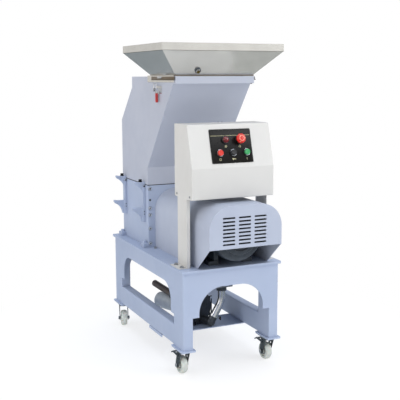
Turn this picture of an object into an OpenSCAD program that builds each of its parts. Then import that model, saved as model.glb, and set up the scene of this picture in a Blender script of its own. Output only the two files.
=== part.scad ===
// Mobile beside-the-press plastic crusher (granulator) on a caster stand.
// Units are millimetres. +Z is up, the control side faces -Y, +X is to the right
// of someone who stands before the control box. Origin: on the floor, under the
// middle of the outer dimensions.

/* [Stand] */
// Outside width of the stand, left to right
stand_width = 438; // [380:1:520]
// Length of the table behind the cutting chamber, up to the stand's rear
rear_margin = 18; // [0:1:60]
// Height of the top of the stand above the floor
stand_top = 436; // [400:1:520]
// Width of a leg's box section across the stand
leg_width = 43; // [34:1:54]
// Depth of a leg's box section along the stand
leg_depth = 93; // [70:1:110]
// Wall of the bent stand sheet
stand_sheet = 3; // [2:0.5:4]
// Outside bend radius of the legs
leg_bend = 6; // [4:0.5:9]
// Height of the bottom side rails
rail_height = 88; // [60:1:100]
// Thickness of the arched apron plates
apron_sheet = 4; // [3:0.5:5]
// Lowest level of the apron plates above the floor
apron_foot = 248; // [230:1:270]
// Height of the clear arch above the floor
arch_top = 367; // [345:1:385]
// Corner radius of the front and rear arches
front_arch_radius = 105; // [60:1:110]
// Corner radius of the side arches
side_arch_radius = 75; // [40:1:100]
// Reach of the front apron plate inside each leg
front_apron_leg = 29; // [15:1:40]
// Reach of the side apron plate inside each leg
side_apron_leg = 33; // [15:1:50]

/* [Table] */
// Thickness of the table plate
table_thick = 10; // [8:1:14]
// Overhang of the table plate past the stand
table_overhang = 9; // [4:1:14]

/* [Feet and casters] */
// Thickness of the welded foot plates
foot_thick = 7; // [5:1:10]
// Margin of a foot plate round its leg
foot_margin = 10; // [6:1:12]
// Height of a whole caster under its foot plate
caster_height = 109; // [100:1:116]
// Caster wheel diameter
wheel_diameter = 75; // [65:1:80]
// Caster wheel width
wheel_width = 28; // [22:1:32]
// Trail of the wheel behind its swivel
wheel_trail = 20; // [14:1:26]
// Radius of the caster axles
axle_radius = 5; // [4:0.5:6]
// Radial running clearance of the caster wheels on their axles
axle_clearance = 0.08; // [0.05:0.01:0.1]
// Thickness of a caster fork leg
fork_sheet = 2.5; // [2:0.5:4]
// Gap between a wheel's side and its fork leg
fork_gap = 4.5; // [3:0.5:6]
// Gap in each swivel race
race_gap = 0.3; // [0.2:0.1:0.6]

/* [Cutting chamber] */
// Outside width of the cutting chamber and the hopper
chamber_width = 356; // [320:1:380]
// Distance from the stand's front to the chamber's front plate
chamber_setback = 480; // [470:1:500]
// Outside length of the cutting chamber
chamber_length = 336; // [300:1:344]
// Height of the chamber above the table
chamber_height = 283; // [272:1:290]
// Thickness of the chamber's front and rear plates
end_plate = 15; // [10:1:20]
// Thickness of the chamber's side plates
side_plate = 12; // [8:1:16]
// Radius of the rotor shaft
shaft_radius = 30; // [20:1:34]
// Height of the rotor axis above the table
rotor_height = 135; // [128:1:150]
// Radius over the rotor's claws
rotor_radius = 92; // [70:1:96]
// Number of claw discs on the rotor
rotor_discs = 5; // [3:1:7]
// Thickness of a claw disc
claw_thick = 22; // [14:1:26]

/* [Hopper] */
// Thickness of the hopper sheet
hopper_sheet = 3; // [2:0.5:4]
// Height of the hopper's top above the floor
hopper_top = 1211; // [1180:1:1240]
// Distance of the hopper mouth's front before the chamber's front plate
hopper_lean = 323; // [300:1:340]
// Height of the hopper's straight throat above the chamber
throat_height = 81; // [60:1:90]
// Depth of the hopper's mouth
mouth_depth = 272; // [240:1:290]
// Distance of the top's rear edge before the chamber's rear
rear_setback = 151; // [120:1:170]
// Height of the short upright rear edge below the top
rear_drop = 48; // [30:1:60]
// Height below the top where the sloping rear meets the upright rear
rear_slope_foot = 203; // [180:1:230]
// Gap of the joint between chamber and hopper
joint_gap = 2; // [1:0.5:3]

/* [Feed tray] */
// Overhang of the tray rim past the hopper mouth
tray_overhang = 92; // [70:1:100]
// Height of the sloping tray walls
tray_slope_height = 95; // [80:1:110]
// Height of the folded rim band
rim_height = 29; // [20:1:40]
// Thickness of the stainless tray sheet
tray_sheet = 2; // [1.5:0.5:3]
// Height of the tray's neck above the hopper's top
neck_height = 6; // [5:1:12]
// Gap between the closed tray and the hopper
tray_gap = 0.5; // [0.3:0.1:0.8]
// Length of the catch flange on the tray's left side
catch_length = 292; // [200:1:300]
// Height of the catch flange
catch_height = 22; // [16:1:30]
// Radius of the tray hinge pin
hinge_pin = 3; // [2:0.5:4]
// Outside radius of the tray hinge barrel
hinge_barrel = 6; // [5:0.5:8]

/* [Motor cover] */
// Difference of the chamber's width and the cover's width
cover_inset = 33; // [30:1:60]
// Depth of the cover's crown below the control box
cover_drop = 18; // [12:1:24]
// Crown corner radius of the cover
cover_radius = 95; // [60:1:110]
// Reach of the cover before the stand's front
cover_reach = 89; // [70:1:100]
// Height of the cover front's lower edge above the table
cover_front_foot = 94; // [80:1:110]
// Distance of the side walls' foot behind the stand's front
cover_side_foot = 23; // [10:1:40]
// Thickness of the cover sheet
cover_sheet = 2; // [1.5:0.5:3]
// Step of the cover's right side past the chamber's right side
cover_step = 1; // [0:0.5:3]
// Rows of louvre slots
louvre_rows = 8; // [6:1:8]
// Columns of louvre slots
louvre_columns = 3; // [2:1:3]
// Length of a louvre slot
louvre_length = 55; // [40:1:58]
// Height of a louvre slot
louvre_height = 7; // [5:0.5:9]
// Pitch of the louvre rows
louvre_pitch = 15; // [14:0.5:16]
// Gap between the louvre columns
louvre_gap = 15; // [10:1:20]
// Shift of the louvre field to the left of the cover's middle
louvre_shift = 6; // [0:1:10]
// Distance of the lowest louvre row above the cover front's foot
louvre_foot = 18; // [12:1:22]

/* [Motor] */
// Clearance between the fan cowl and the table or the cover's crown
cowl_clearance = 22.5; // [20:0.5:30]
// Edge radius of the fan cowl's rounded front
cowl_round = 24; // [15:1:30]
// Radius of the raised middle of the fan cowl's front
cowl_boss = 80; // [78:1:84]
// Distance from the cover's front to the fan cowl
cowl_gap = 46; // [30:1:60]
// Length of the fan cowl
cowl_length = 70; // [50:1:90]
// Length of the finned motor body
motor_length = 190; // [150:1:220]
// Height of the cooling fins on the motor body
fin_height = 12; // [8:1:14]
// Length of the flange between the motor and its gear case
flange_length = 60; // [40:1:70]

/* [Control box] */
// Width of the control box
box_width = 365; // [340:1:380]
// Depth of the control box at its foot
box_depth = 171; // [150:1:190]
// Height of the control box
box_height = 294; // [270:1:320]
// Height of the box's upright lower front
box_lower_front = 123; // [100:1:140]
// Setback of the top's front edge behind the lower front
box_setback = 48; // [30:1:70]
// Gap between the box's foot and the chamber's top level
box_lift = 0; // [0:1:10]
// Corner radius of the box's sheet edges
box_radius = 4; // [2:0.5:6]
// Reach of the control box before the stand's front
box_reach = 12; // [5:1:20]
// Depth of the box's upright posts
post_depth = 92; // [70:1:110]
// Sheet of the posts
post_sheet = 3; // [2:0.5:4]
// Width of the posts' foot flanges
post_foot = 35; // [25:1:38]
// Distance of the posts behind the box's front
post_setback = 52; // [40:1:60]

/* [Control panel] */
// Width of the black panel plate
panel_width = 184; // [160:1:200]
// Height of the black panel plate along the slope
panel_height = 138; // [136:1:150]
// Distance of the panel's lower edge above the slope's foot
panel_foot = 18; // [10:1:24]
// Thickness of the panel plate
panel_thick = 2; // [1:0.5:3]
// Outside radius of the button bezels
bezel_radius = 15; // [12:0.5:16]
// Height of the button bezels above the panel
bezel_height = 6; // [4:0.5:8]
// Radius of the push button caps
button_radius = 11; // [9:0.5:11]
// Pitch of the three push buttons
button_pitch = 59.5; // [50:0.5:62]
// Shift of the button row to the right of the panel's middle
button_shift = 5; // [0:0.5:8]
// Place of the lamp left of the panel's middle
lamp_place = 24; // [18:0.5:30]
// Place of the emergency stop right of the panel's middle
mushroom_place = 38; // [32:0.5:44]
// Travel of the push buttons
button_travel = 3.5; // [2:0.5:4]
// Radius of the emergency stop's mushroom head
mushroom_radius = 20; // [17:0.5:22]
// Travel of the emergency stop
mushroom_travel = 4; // [3:0.5:5]
// Radial gap round each push button
button_gap = 0.5; // [0.3:0.1:0.8]

/* [Blower] */
// Distance of the blower's shelf behind the stand's front
shelf_setback = 232; // [220:1:245]
// Depth of the shelf plate that carries the blower
shelf_depth = 148; // [130:1:170]
// Thickness of the shelf plate
shelf_thick = 4; // [3:0.5:6]
// Height of the shelf's end flanges under the side rails
shelf_flange = 12; // [8:1:16]
// Radius of the suction pipe
pipe_radius = 16.5; // [14:0.5:17]
// Wall of the blower's pipes
pipe_wall = 1.5; // [1:0.5:2]
// Bend radius of the suction pipe
pipe_bend = 88; // [75:1:92]
// Angle of the suction pipe's bend
pipe_angle = 31; // [27:1:33]
// Width of the blower's fan housing
blower_width = 52; // [44:1:56]
// Turn of the blower seen from above
blower_turn = 20; // [16:1:22]
// Radius of the blower's motor
blower_motor_radius = 37; // [33:1:40]
// Length of the blower's motor up to its fan hood
blower_motor_length = 168; // [140:1:180]
// Length of the blower motor's fan hood
blower_hood = 50; // [35:1:55]
// Radius of the blower's outlet pipe
outlet_radius = 15; // [13:0.5:16]
// Place of the outlet pipe left of the stand's middle
outlet_place = 120; // [116:1:124]

/* [View] */
// Which node to draw

/* [Hidden] */
$fn = 64;
eps = 0.01;

// Levels and front-to-back places
stand_depth = chamber_setback + chamber_length + rear_margin;
front_y = -(cover_reach + stand_depth + table_overhang) / 2 + cover_reach;
rear_y = front_y + stand_depth;
side_x = stand_width / 2;
foot_level = caster_height;
leg_foot = foot_level + foot_thick;
rail_top = leg_foot + rail_height;
table_top = stand_top + table_thick;
cover_front_y = front_y - cover_reach;

chamber_x = chamber_width / 2;
chamber_front = front_y + chamber_setback;
chamber_rear = chamber_front + chamber_length;
chamber_top = table_top + chamber_height;
chamber_mid = (chamber_front + chamber_rear) / 2;
hopper_foot = chamber_top + joint_gap;
throat_top = chamber_top + throat_height;
mouth_front = chamber_front - hopper_lean;
mouth_rear = mouth_front + mouth_depth;
hopper_rear_top = chamber_rear - rear_setback;

tray_foot = hopper_top + tray_gap;
neck_top = hopper_top + neck_height;
rim_foot = neck_top + tray_slope_height;
rim_top = rim_foot + rim_height;
rim_x = chamber_x + tray_overhang;
rim_front = mouth_front - tray_overhang;
rim_rear = mouth_rear + tray_overhang;
hinge_x = chamber_x + hinge_barrel + 0.8;
hinge_z = hopper_top - hinge_barrel;

caster_x = side_x - leg_width / 2;
caster_front_y = front_y + leg_depth / 2;
caster_rear_y = rear_y - leg_depth / 2;

box_x = box_width / 2;
box_front = front_y - box_reach;
box_rear = box_front + box_depth;
box_foot = chamber_top + box_lift;
box_top = box_foot + box_height;
slope_run = box_setback;
slope_rise = box_height - box_lower_front;
slope_angle = atan2(slope_rise, slope_run);
post_front = box_front + post_setback;

cover_width = chamber_width - cover_inset;
cover_height = chamber_height - cover_drop;
cover_x = cover_width / 2;
cover_shift = chamber_x + cover_step - cover_x;
cover_top = table_top + cover_height;
motor_z = table_top + cover_height / 2;
cowl_radius = cover_height / 2 - cowl_clearance;
motor_radius = 0.8 * cowl_radius;
cowl_front = cover_front_y + cowl_gap;
cowl_rear = cowl_front + cowl_length;
motor_rear = cowl_rear + motor_length;
shelf_front = front_y + shelf_setback;
shelf_top = leg_foot;

light_blue = [0.70, 0.75, 0.87];
white_sheet = [0.93, 0.93, 0.91];
stainless = [0.66, 0.65, 0.60];
dark_iron = [0.16, 0.16, 0.17];
zinc = [0.62, 0.64, 0.66];
chrome_steel = [0.80, 0.81, 0.82];

// A convex outline with every corner rounded to one radius
function unit(v) = v / norm(v);
function corner_half(p, c, n) = acos(unit(p - c) * unit(n - c)) / 2;
module rounded_outline(pts, r) {
    count = len(pts);
    polygon([for (i = [0:count - 1]) let (c = pts[i], p = pts[(i + count - 1) % count],
        n = pts[(i + 1) % count], t = r / tan(corner_half(p, c, n)))
        each [c + unit(p - c) * t, c + unit(n - c) * t]]);
    for (i = [0:count - 1]) {
        c = pts[i];
        p = pts[(i + count - 1) % count];
        n = pts[(i + 1) % count];
        reach = r / sin(corner_half(p, c, n));
        translate(c + unit(unit(p - c) + unit(n - c)) * reach) circle(r);
    }
}

module rounded_rect(w, d, r) {
    rounded_outline([[-w / 2, -d / 2], [w / 2, -d / 2], [w / 2, d / 2], [-w / 2, d / 2]], r);
}

// Turns an outline drawn in (Y, Z) into a body that runs along X
module along_x(x0, x1) {
    translate([x0, 0, 0]) rotate([90, 0, 90]) linear_extrude(x1 - x0) children();
}

// Turns an outline drawn in (X, Z) into a body that runs along Y
module along_y(y0, y1) {
    translate([0, y1, 0]) rotate([90, 0, 0]) linear_extrude(y1 - y0) children();
}

// Stand
// Leg section, bent round at its outer corner only, so that the aprons run on flush
module leg_outline(w, d, r) {
    translate([r - w / 2, -d / 2]) square([w - r, d]);
    translate([-w / 2, r - d / 2]) square([w, d - r]);
    translate([r - w / 2, r - d / 2]) circle(r);
}

module leg_box() {
    translate([0, 0, leg_foot]) linear_extrude(stand_top - leg_foot) difference() {
        leg_outline(leg_width, leg_depth, leg_bend);
        leg_outline(leg_width - 2 * stand_sheet, leg_depth - 2 * stand_sheet,
                    leg_bend - stand_sheet);
    }
}

module stand_legs() {
    color(light_blue) for (s = [0, 1], t = [0, 1])
        translate([s > 0 ? caster_x : -caster_x, t > 0 ? caster_rear_y : caster_front_y, 0])
            mirror([s, 0, 0]) mirror([0, t, 0]) leg_box();
}

// Bottom rail, a box section between the legs of one side
module side_rail(side) {
    length = stand_depth - 2 * leg_depth;
    mid_z = leg_foot + rail_height / 2;
    translate([side * caster_x, (front_y + rear_y) / 2 - length / 2, mid_z])
        rotate([-90, 0, 0]) linear_extrude(length) difference() {
            rounded_rect(leg_width, rail_height, leg_bend);
            rounded_rect(leg_width - 2 * stand_sheet, rail_height - 2 * stand_sheet,
                         leg_bend - stand_sheet);
        }
}

module side_rails() { color(light_blue) for (side = [-1, 1]) side_rail(side); }

// Apron outline: a plate of the given width with an arch cut up into it
module apron_outline(width, cheek, r) {
    difference() {
        translate([-width / 2, apron_foot]) square([width, stand_top - apron_foot]);
        half = width / 2 - cheek;
        translate([-half, apron_foot - 1]) square([2 * half, arch_top - r - apron_foot + 1]);
        translate([-half + r, apron_foot - 1]) square([2 * (half - r), arch_top - apron_foot + 1]);
        for (s = [-1, 1]) translate([s * (half - r), arch_top - r]) circle(r);
    }
}

module apron_across(y0) {
    width = stand_width - 2 * leg_width;
    along_y(y0, y0 + apron_sheet) apron_outline(width, front_apron_leg, front_arch_radius);
}

module apron_along(x0) {
    width = stand_depth - 2 * leg_depth;
    translate([0, (front_y + rear_y) / 2, 0]) along_x(x0, x0 + apron_sheet)
        apron_outline(width, side_apron_leg, side_arch_radius);
}

module apron_plates() {
    color(light_blue) {
        for (y = [front_y, rear_y - apron_sheet]) apron_across(y);
        for (x = [-side_x, side_x - apron_sheet]) apron_along(x);
    }
}

// Table plate with an opening under the cutting chamber
module table_plate() {
    color(light_blue) difference() {
        translate([0, (front_y + rear_y) / 2, stand_top]) linear_extrude(table_thick)
            rounded_rect(stand_width + 2 * table_overhang, stand_depth + 2 * table_overhang, 5);
        translate([-chamber_x + 40, chamber_front + 30, stand_top - 1])
            cube([chamber_width - 80, chamber_length - 60, table_thick + 2]);
    }
}

module each_corner() {
    for (x = [-caster_x, caster_x], y = [caster_front_y, caster_rear_y])
        translate([x, y, 0]) children();
}

module foot_plates() {
    color(light_blue) each_corner() translate([0, 0, foot_level]) linear_extrude(foot_thick)
        rounded_rect(leg_width + 2 * foot_margin, leg_depth + 2 * foot_margin, 4);
}

// Casters
mount_thick = 4;
race_foot = caster_height - mount_thick - 5;
fork_top = race_foot - race_gap;
fork_head = 4;
fork_inner = wheel_width / 2 + fork_gap;

// Fixed top plate and ball race of a caster, with its kingpin
module caster_mounts() {
    color(zinc) each_corner() {
        translate([0, 0, caster_height - mount_thick]) linear_extrude(mount_thick)
            rounded_rect(leg_width + 12, leg_depth - 5, 5);
        translate([0, 0, race_foot]) cylinder(h = 5, r1 = 25, r2 = 27);
        translate([0, 0, fork_top - fork_head - 5]) cylinder(h = fork_head + 8, r = 6);
        translate([0, 0, fork_top - fork_head - 5]) cylinder(h = 4.5, r = 9);
    }
}

module fork_leg() {
    along_x(0, fork_sheet) difference() {
        union() {
            polygon([[-20, fork_top - 0.5], [20, fork_top - 0.5], [wheel_trail + 13,
                wheel_diameter / 2 + 4], [wheel_trail - 13, wheel_diameter / 2 - 2]]);
            translate([wheel_trail, wheel_diameter / 2]) circle(13);
        }
        translate([8, fork_top - 26]) circle(5);
    }
}

// Swivelling fork with its axle; brake adds the foot pedal
module caster_fork(turn, brake) {
    rotate([0, 0, turn]) {
        difference() {
            translate([0, 0, fork_top - fork_head]) linear_extrude(fork_head)
                rounded_rect(2 * (fork_inner + fork_sheet), 46, 6);
            translate([0, 0, fork_top - fork_head - 1]) cylinder(h = fork_head + 2, r = 6.3);
        }
        translate([fork_inner, 0, 0]) fork_leg();
        translate([-fork_inner - fork_sheet, 0, 0]) fork_leg();
        translate([-fork_inner - fork_sheet - 4, wheel_trail, wheel_diameter / 2])
            rotate([0, 90, 0]) cylinder(h = 2 * (fork_inner + fork_sheet) + 8, r = axle_radius);
        for (s = [-1, 1]) translate([s * (fork_inner + fork_sheet + 2.5), wheel_trail,
            wheel_diameter / 2]) rotate([0, 90, 0])
            cylinder(h = 5, r = 8, center = true, $fn = 6);
        if (brake) {
            for (s = [-1, 1]) translate([s * (fork_inner + fork_sheet + 1.5), 0, 0])
                along_x(-1.5, 1.5) polygon([[6, fork_top - 22], [6, fork_top - 8],
                    [58, fork_top - 12], [76, fork_top - 22], [74, fork_top - 26],
                    [56, fork_top - 18]]);
            translate([0, 0, 0]) along_x(-fork_inner - fork_sheet, fork_inner + fork_sheet)
                polygon([[50, fork_top - 16.4], [50, fork_top - 11.6], [59, fork_top - 12.2],
                    [77, fork_top - 22], [75.5, fork_top - 25.5], [58, fork_top - 16]]);
        }
    }
}

module caster_wheel(turn) {
    rotate([0, 0, turn]) translate([0, wheel_trail, wheel_diameter / 2]) rotate([0, 90, 0])
        rotate_extrude() {
            r = wheel_diameter / 2;
            w = wheel_width / 2;
            bore = axle_radius + axle_clearance;
            polygon([[bore, -w - 2], [12, -w - 2], [12, -w + 5], [r - 14, -w + 7],
                [r - 12, -w + 1], [r - 5, -w], [r - 1.5, -w + 4], [r, -w + 10],
                [r, w - 10], [r - 1.5, w - 4], [r - 5, w], [r - 12, w - 1],
                [r - 14, w - 7], [12, w - 5], [12, w + 2], [bore, w + 2]]);
        }
}

module at_caster(side, y) { translate([side * caster_x, y, 0]) children(); }

rear_turn = 165;
module caster_fork_fl() { color(zinc) at_caster(-1, caster_front_y) caster_fork(0, true); }
module caster_fork_fr() { color(zinc) at_caster(1, caster_front_y) caster_fork(0, true); }
module caster_fork_rl() {
    color(zinc) at_caster(-1, caster_rear_y) caster_fork(rear_turn, false);
}
module caster_fork_rr() {
    color(zinc) at_caster(1, caster_rear_y) caster_fork(rear_turn, false);
}
module caster_wheel_fl() { color(white_sheet) at_caster(-1, caster_front_y) caster_wheel(0); }
module caster_wheel_fr() { color(white_sheet) at_caster(1, caster_front_y) caster_wheel(0); }
module caster_wheel_rl() {
    color(white_sheet) at_caster(-1, caster_rear_y) caster_wheel(rear_turn);
}
module caster_wheel_rr() {
    color(white_sheet) at_caster(1, caster_rear_y) caster_wheel(rear_turn);
}

// Cutting chamber
rotor_z = table_top + rotor_height;
inner_front = chamber_front + end_plate;
inner_rear = chamber_rear - end_plate;
// Reach of the rotor's shaft out of the chamber, up to the gear case
shaft_reach = 40;

// Open box of two thick end plates and two side plates, bored for the rotor
module cutting_chamber() {
    color(light_blue) difference() {
        translate([-chamber_x, chamber_front, table_top])
            cube([chamber_width, chamber_length, chamber_height]);
        translate([-chamber_x + side_plate, inner_front, table_top - 1])
            cube([chamber_width - 2 * side_plate, inner_rear - inner_front, chamber_height + 2]);
        translate([0, chamber_front - 1, rotor_z]) rotate([-90, 0, 0])
            cylinder(h = chamber_length + 2, r = shaft_radius + 0.3);
    }
}

// Foot blocks that bolt the chamber to the table
module chamber_feet() {
    color(light_blue) for (s = [-1, 1], y = [chamber_front, chamber_rear - 34])
        difference() {
            union() {
                translate([s > 0 ? chamber_x : -chamber_x - 24, y, table_top])
                    cube([24, 40, 18]);
                translate([s * (chamber_x + 12), y + 20, table_top + 18])
                    cylinder(h = 3, r = 10);
                translate([s * (chamber_x + 12), y + 20, table_top + 21])
                    cylinder(h = 8, r = 8, $fn = 6);
            }
        }
}

// Rotor: shaft with hooked claw discs, each turned against its neighbour
module claw_disc() {
    linear_extrude(claw_thick) union() {
        circle(rotor_radius * 0.66);
        for (i = [0:2]) rotate([0, 0, 120 * i])
            polygon([[0, rotor_radius * 0.3], [0, rotor_radius], [rotor_radius * 0.18,
                rotor_radius * 0.97], [rotor_radius * 0.58, rotor_radius * 0.5],
                [rotor_radius * 0.62, 0]]);
    }
}

module rotor() {
    span = inner_rear - inner_front;
    pitch = span / rotor_discs;
    color(stainless) {
        translate([0, chamber_front - shaft_reach, rotor_z]) rotate([-90, 0, 0])
            cylinder(h = chamber_length + shaft_reach + 10, r = shaft_radius);
        for (i = [0:rotor_discs - 1])
            translate([0, inner_front + pitch * (i + 0.5) + claw_thick / 2, rotor_z])
                rotate([90, 24 * i, 0]) claw_disc();
    }
}

// Half-round sieve under the rotor, hung between the side plates
module screen() {
    r = rotor_radius + 6;
    color(stainless) along_y(inner_front, inner_rear) {
        difference() {
            translate([0, rotor_z]) circle(r + 4);
            translate([0, rotor_z]) circle(r);
            translate([-r - 10, rotor_z]) square([2 * r + 20, r + 10]);
        }
        for (s = [-1, 1]) {
            x0 = s > 0 ? r : -chamber_x + side_plate;
            translate([x0, rotor_z]) square([chamber_x - side_plate - r, 4]);
        }
    }
}

// Clamps on the left and right of the chamber
clamp_near = chamber_front + 44;
clamp_far = chamber_rear - 44;
bar_width = 24;
bar_thick = 12;
bar_length = 170;
lug_thick = 18;
lug_reach = 50;
lug_drop = 62;
lug_curve = 55;
upper_lug = chamber_top + 12;
lower_lug = chamber_top - 106;

module each_clamp() {
    for (s = [0, 1], y = [clamp_near, clamp_far]) mirror([s, 0, 0])
        translate([-chamber_x, y, 0]) children();
}

// Horn-shaped lug: flat top, hollow-curved underside
module horn(top) {
    rotate([90, 0, 0]) linear_extrude(lug_thick, center = true) difference() {
        polygon([[0, top], [-34, top], [-lug_reach, top + 3], [-lug_reach - 2, top - 3],
            [-bar_thick, top - lug_drop], [0, top - lug_drop]]);
        translate([-lug_reach - 14, top - lug_drop - 3]) circle(lug_curve);
    }
}

// Upright bar on the chamber with an upper and a lower lug
module clamp_brackets() {
    color(light_blue) each_clamp() {
        translate([-bar_thick, -bar_width / 2, chamber_top - bar_length])
            cube([bar_thick, bar_width, bar_length - 7]);
        horn(upper_lug);
        translate([-bar_thick, 0, 0]) horn(lower_lug);
    }
}

module clamp_bolts() {
    color(dark_iron) each_clamp() translate([-20, 0, 0]) {
        translate([0, 0, upper_lug]) cylinder(h = 3, r = 9);
        translate([0, 0, upper_lug + 3]) cylinder(h = 9, r = 8, $fn = 6);
    }
}

// Hopper
function hopper_outline() = [[chamber_front, hopper_foot], [chamber_rear, hopper_foot],
    [chamber_rear, hopper_top - rear_slope_foot], [hopper_rear_top, hopper_top - rear_drop],
    [hopper_rear_top, hopper_top], [mouth_front, hopper_top], [chamber_front, throat_top]];

// The same outline moved inwards by a sheet's thickness
function inset_line(p, q, d) = let (u = unit(q - p)) [p + [-u[1], u[0]] * d, q + [-u[1], u[0]] * d];
function meet(a, b) = let (p = a[0], r = a[1] - a[0], q = b[0], s = b[1] - b[0],
    den = r[0] * s[1] - r[1] * s[0], t = ((q - p)[0] * s[1] - (q - p)[1] * s[0]) / den) p + r * t;
function inset(pts, d) = let (n = len(pts)) [for (i = [0:n - 1])
    meet(inset_line(pts[(i + n - 1) % n], pts[i], d), inset_line(pts[i], pts[(i + 1) % n], d))];

rim_strip = 29;
module hopper_rim_outline() {
    polygon([[mouth_front + hopper_sheet, hopper_top], [mouth_front - 7, hopper_top],
        [mouth_front - 7, hopper_top - rim_strip],
        [mouth_front + rim_strip * hopper_lean / (hopper_top - throat_top),
         hopper_top - rim_strip]]);
}

module hopper_body() {
    color(light_blue) difference() {
        along_x(-chamber_x, chamber_x) {
            polygon(hopper_outline());
            hopper_rim_outline();
        }
        along_x(-chamber_x + hopper_sheet, chamber_x - hopper_sheet)
            polygon(inset(hopper_outline(), hopper_sheet));
        translate([-chamber_x + hopper_sheet, inner_front, hopper_foot - 1])
            cube([chamber_width - 2 * hopper_sheet, inner_rear - inner_front, 10]);
        translate([-chamber_x + hopper_sheet, mouth_front + hopper_sheet, hopper_top - 10])
            cube([chamber_width - 2 * hopper_sheet, mouth_depth - 2 * hopper_sheet, 20]);
    }
    color(dark_iron) translate([0, 0, chamber_top]) linear_extrude(joint_gap) difference() {
        translate([-chamber_x + 2, chamber_front + 2])
            square([chamber_width - 4, chamber_length - 4]);
        translate([-chamber_x + side_plate, inner_front])
            square([chamber_width - 2 * side_plate, inner_rear - inner_front]);
    }
}

// Feed tray
module tray_form(d, z0, z1) {
    intersection() {
        along_y(rim_front - 1, rim_rear + 1) polygon([[-chamber_x + d, z0], [chamber_x - d, z0],
            [chamber_x - d, neck_top], [rim_x - d, rim_foot], [rim_x - d, z1],
            [-rim_x + d, z1], [-rim_x + d, rim_foot], [-chamber_x + d, neck_top]]);
        along_x(-rim_x - 1, rim_x + 1) polygon([[mouth_front + d, z0], [mouth_rear - d, z0],
            [mouth_rear - d, neck_top], [rim_rear - d, rim_foot], [rim_rear - d, z1],
            [rim_front + d, z1], [rim_front + d, rim_foot], [mouth_front + d, neck_top]]);
    }
}

catch_y = mouth_front + 8;
knob_x = -87;
module feed_tray() {
    slope = atan2(tray_slope_height, tray_overhang);
    color(stainless) {
        difference() {
            tray_form(0, tray_foot, rim_top);
            tray_form(tray_sheet, tray_foot - 1, rim_top + 1);
        }
        translate([-chamber_x - 3.5, catch_y, hopper_top - catch_height - 2])
            cube([3, catch_length, catch_height + 5]);
        translate([-chamber_x - 3.5, catch_y, hopper_top + 1])
            cube([4.5, catch_length, 3]);
        translate([knob_x, mouth_front - 18, neck_top + 18 * tan(slope)])
            rotate([180 - slope, 0, 0]) translate([0, 0, -1]) {
                cylinder(h = 6, r = 12);
                translate([0, 0, 5]) cylinder(h = 7, r = 7);
            }
    }
}

// Hinge along the right of the hopper mouth
hinge_front = mouth_front + 14;
hinge_knuckle = 76;
module hinge_ring(y0) {
    translate([hinge_x, y0, hinge_z]) rotate([-90, 0, 0]) difference() {
        cylinder(h = hinge_knuckle, r = hinge_barrel);
        translate([0, 0, -1]) cylinder(h = hinge_knuckle + 2, r = hinge_pin + 0.05);
    }
}

module tray_hinge_fixed() {
    color(dark_iron) {
        for (i = [0, 2]) {
            y0 = hinge_front + i * (hinge_knuckle + 1);
            hinge_ring(y0);
            translate([chamber_x, y0, hinge_z - 26]) cube([2.5, hinge_knuckle, 26]);
        }
        translate([hinge_x, hinge_front - 3, hinge_z]) rotate([-90, 0, 0])
            cylinder(h = 3 * hinge_knuckle + 8, r = hinge_pin);
        for (y0 = [hinge_front - 3, hinge_front + 3 * hinge_knuckle + 2])
            translate([hinge_x, y0, hinge_z]) rotate([-90, 0, 0])
                cylinder(h = 3, r = hinge_pin + 1.5);
    }
}

module tray_hinge_leaf() {
    y0 = hinge_front + hinge_knuckle + 1;
    color(dark_iron) {
        hinge_ring(y0);
        translate([chamber_x, y0, hinge_z]) difference() {
            cube([3, hinge_knuckle, hopper_top + neck_height - hinge_z]);
            translate([hinge_x - chamber_x, -1, 0]) rotate([-90, 0, 0])
                cylinder(h = hinge_knuckle + 2, r = hinge_pin + 1);
        }
    }
}

// Toggle latch on the hopper's left side: plate with two ears, pin, wire loop
latch_y = -42;
latch_z = hopper_top - 56;
wire_radius = 1.6;
wire_bend = 5;
loop_half = 14;
loop_rise = 27;
latch_pin = 2.5;
latch_pin_x = -chamber_x - 10;
module latch_base() {
    color(chrome_steel) {
        translate([-chamber_x - 2, latch_y - 36, latch_z - 16]) cube([2, 60, 32]);
        for (s = [-1, 1]) translate([-chamber_x - 20, latch_y + s * loop_half - 2, latch_z - 7])
            cube([19, 4, 14]);
        translate([latch_pin_x, latch_y - loop_half, latch_z]) rotate([-90, 0, 0])
            cylinder(h = 2 * loop_half, r = latch_pin);
        translate([-chamber_x - 17, latch_y, latch_z]) for (s = [0, 1]) mirror([0, s, 0]) {
            translate([0, loop_half, 0])
                cylinder(h = loop_rise - wire_bend, r = wire_radius);
            translate([0, loop_half - wire_bend, loop_rise - wire_bend]) rotate([90, 0, 90])
                rotate_extrude(angle = 90) translate([wire_bend, 0]) circle(wire_radius);
            translate([0, 0, loop_rise]) rotate([-90, 0, 0])
                cylinder(h = loop_half - wire_bend, r = wire_radius);
        }
    }
}

// Lever that turns on the pin, with its dipped grip hanging down
module latch_lever() {
    half = loop_half - 3.5;
    color([0.75, 0.08, 0.06]) translate([latch_pin_x, latch_y, latch_z]) difference() {
        union() {
            rotate([90, 0, 0]) cylinder(h = 2 * half, r = 4.5, center = true);
            translate([-3, -half, -14]) cube([5, 2 * half, 14]);
            translate([-4, -7, -46]) cube([7, 14, 34]);
            translate([-0.5, 0, -46]) rotate([0, 90, 0]) cylinder(h = 7, r = 7, center = true);
        }
        rotate([90, 0, 0]) cylinder(h = 2 * half + 2, r = latch_pin + 0.08, center = true);
    }
}

// Motor and its cover
module cover_outline(d) {
    r = cover_radius - d;
    half = cover_x - cover_radius;
    translate([-cover_x + d, 0]) square([cover_width - 2 * d, cover_top - cover_radius]);
    translate([-half, 0]) square([2 * half, cover_top - d]);
    for (s = [-1, 1]) translate([s * half, cover_top - cover_radius]) circle(r);
}

module slot(w, h) {
    translate([-w / 2 + h / 2, -h / 2]) square([w - h, h]);
    for (s = [-1, 1]) translate([s * (w - h) / 2, 0]) circle(h / 2);
}

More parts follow.
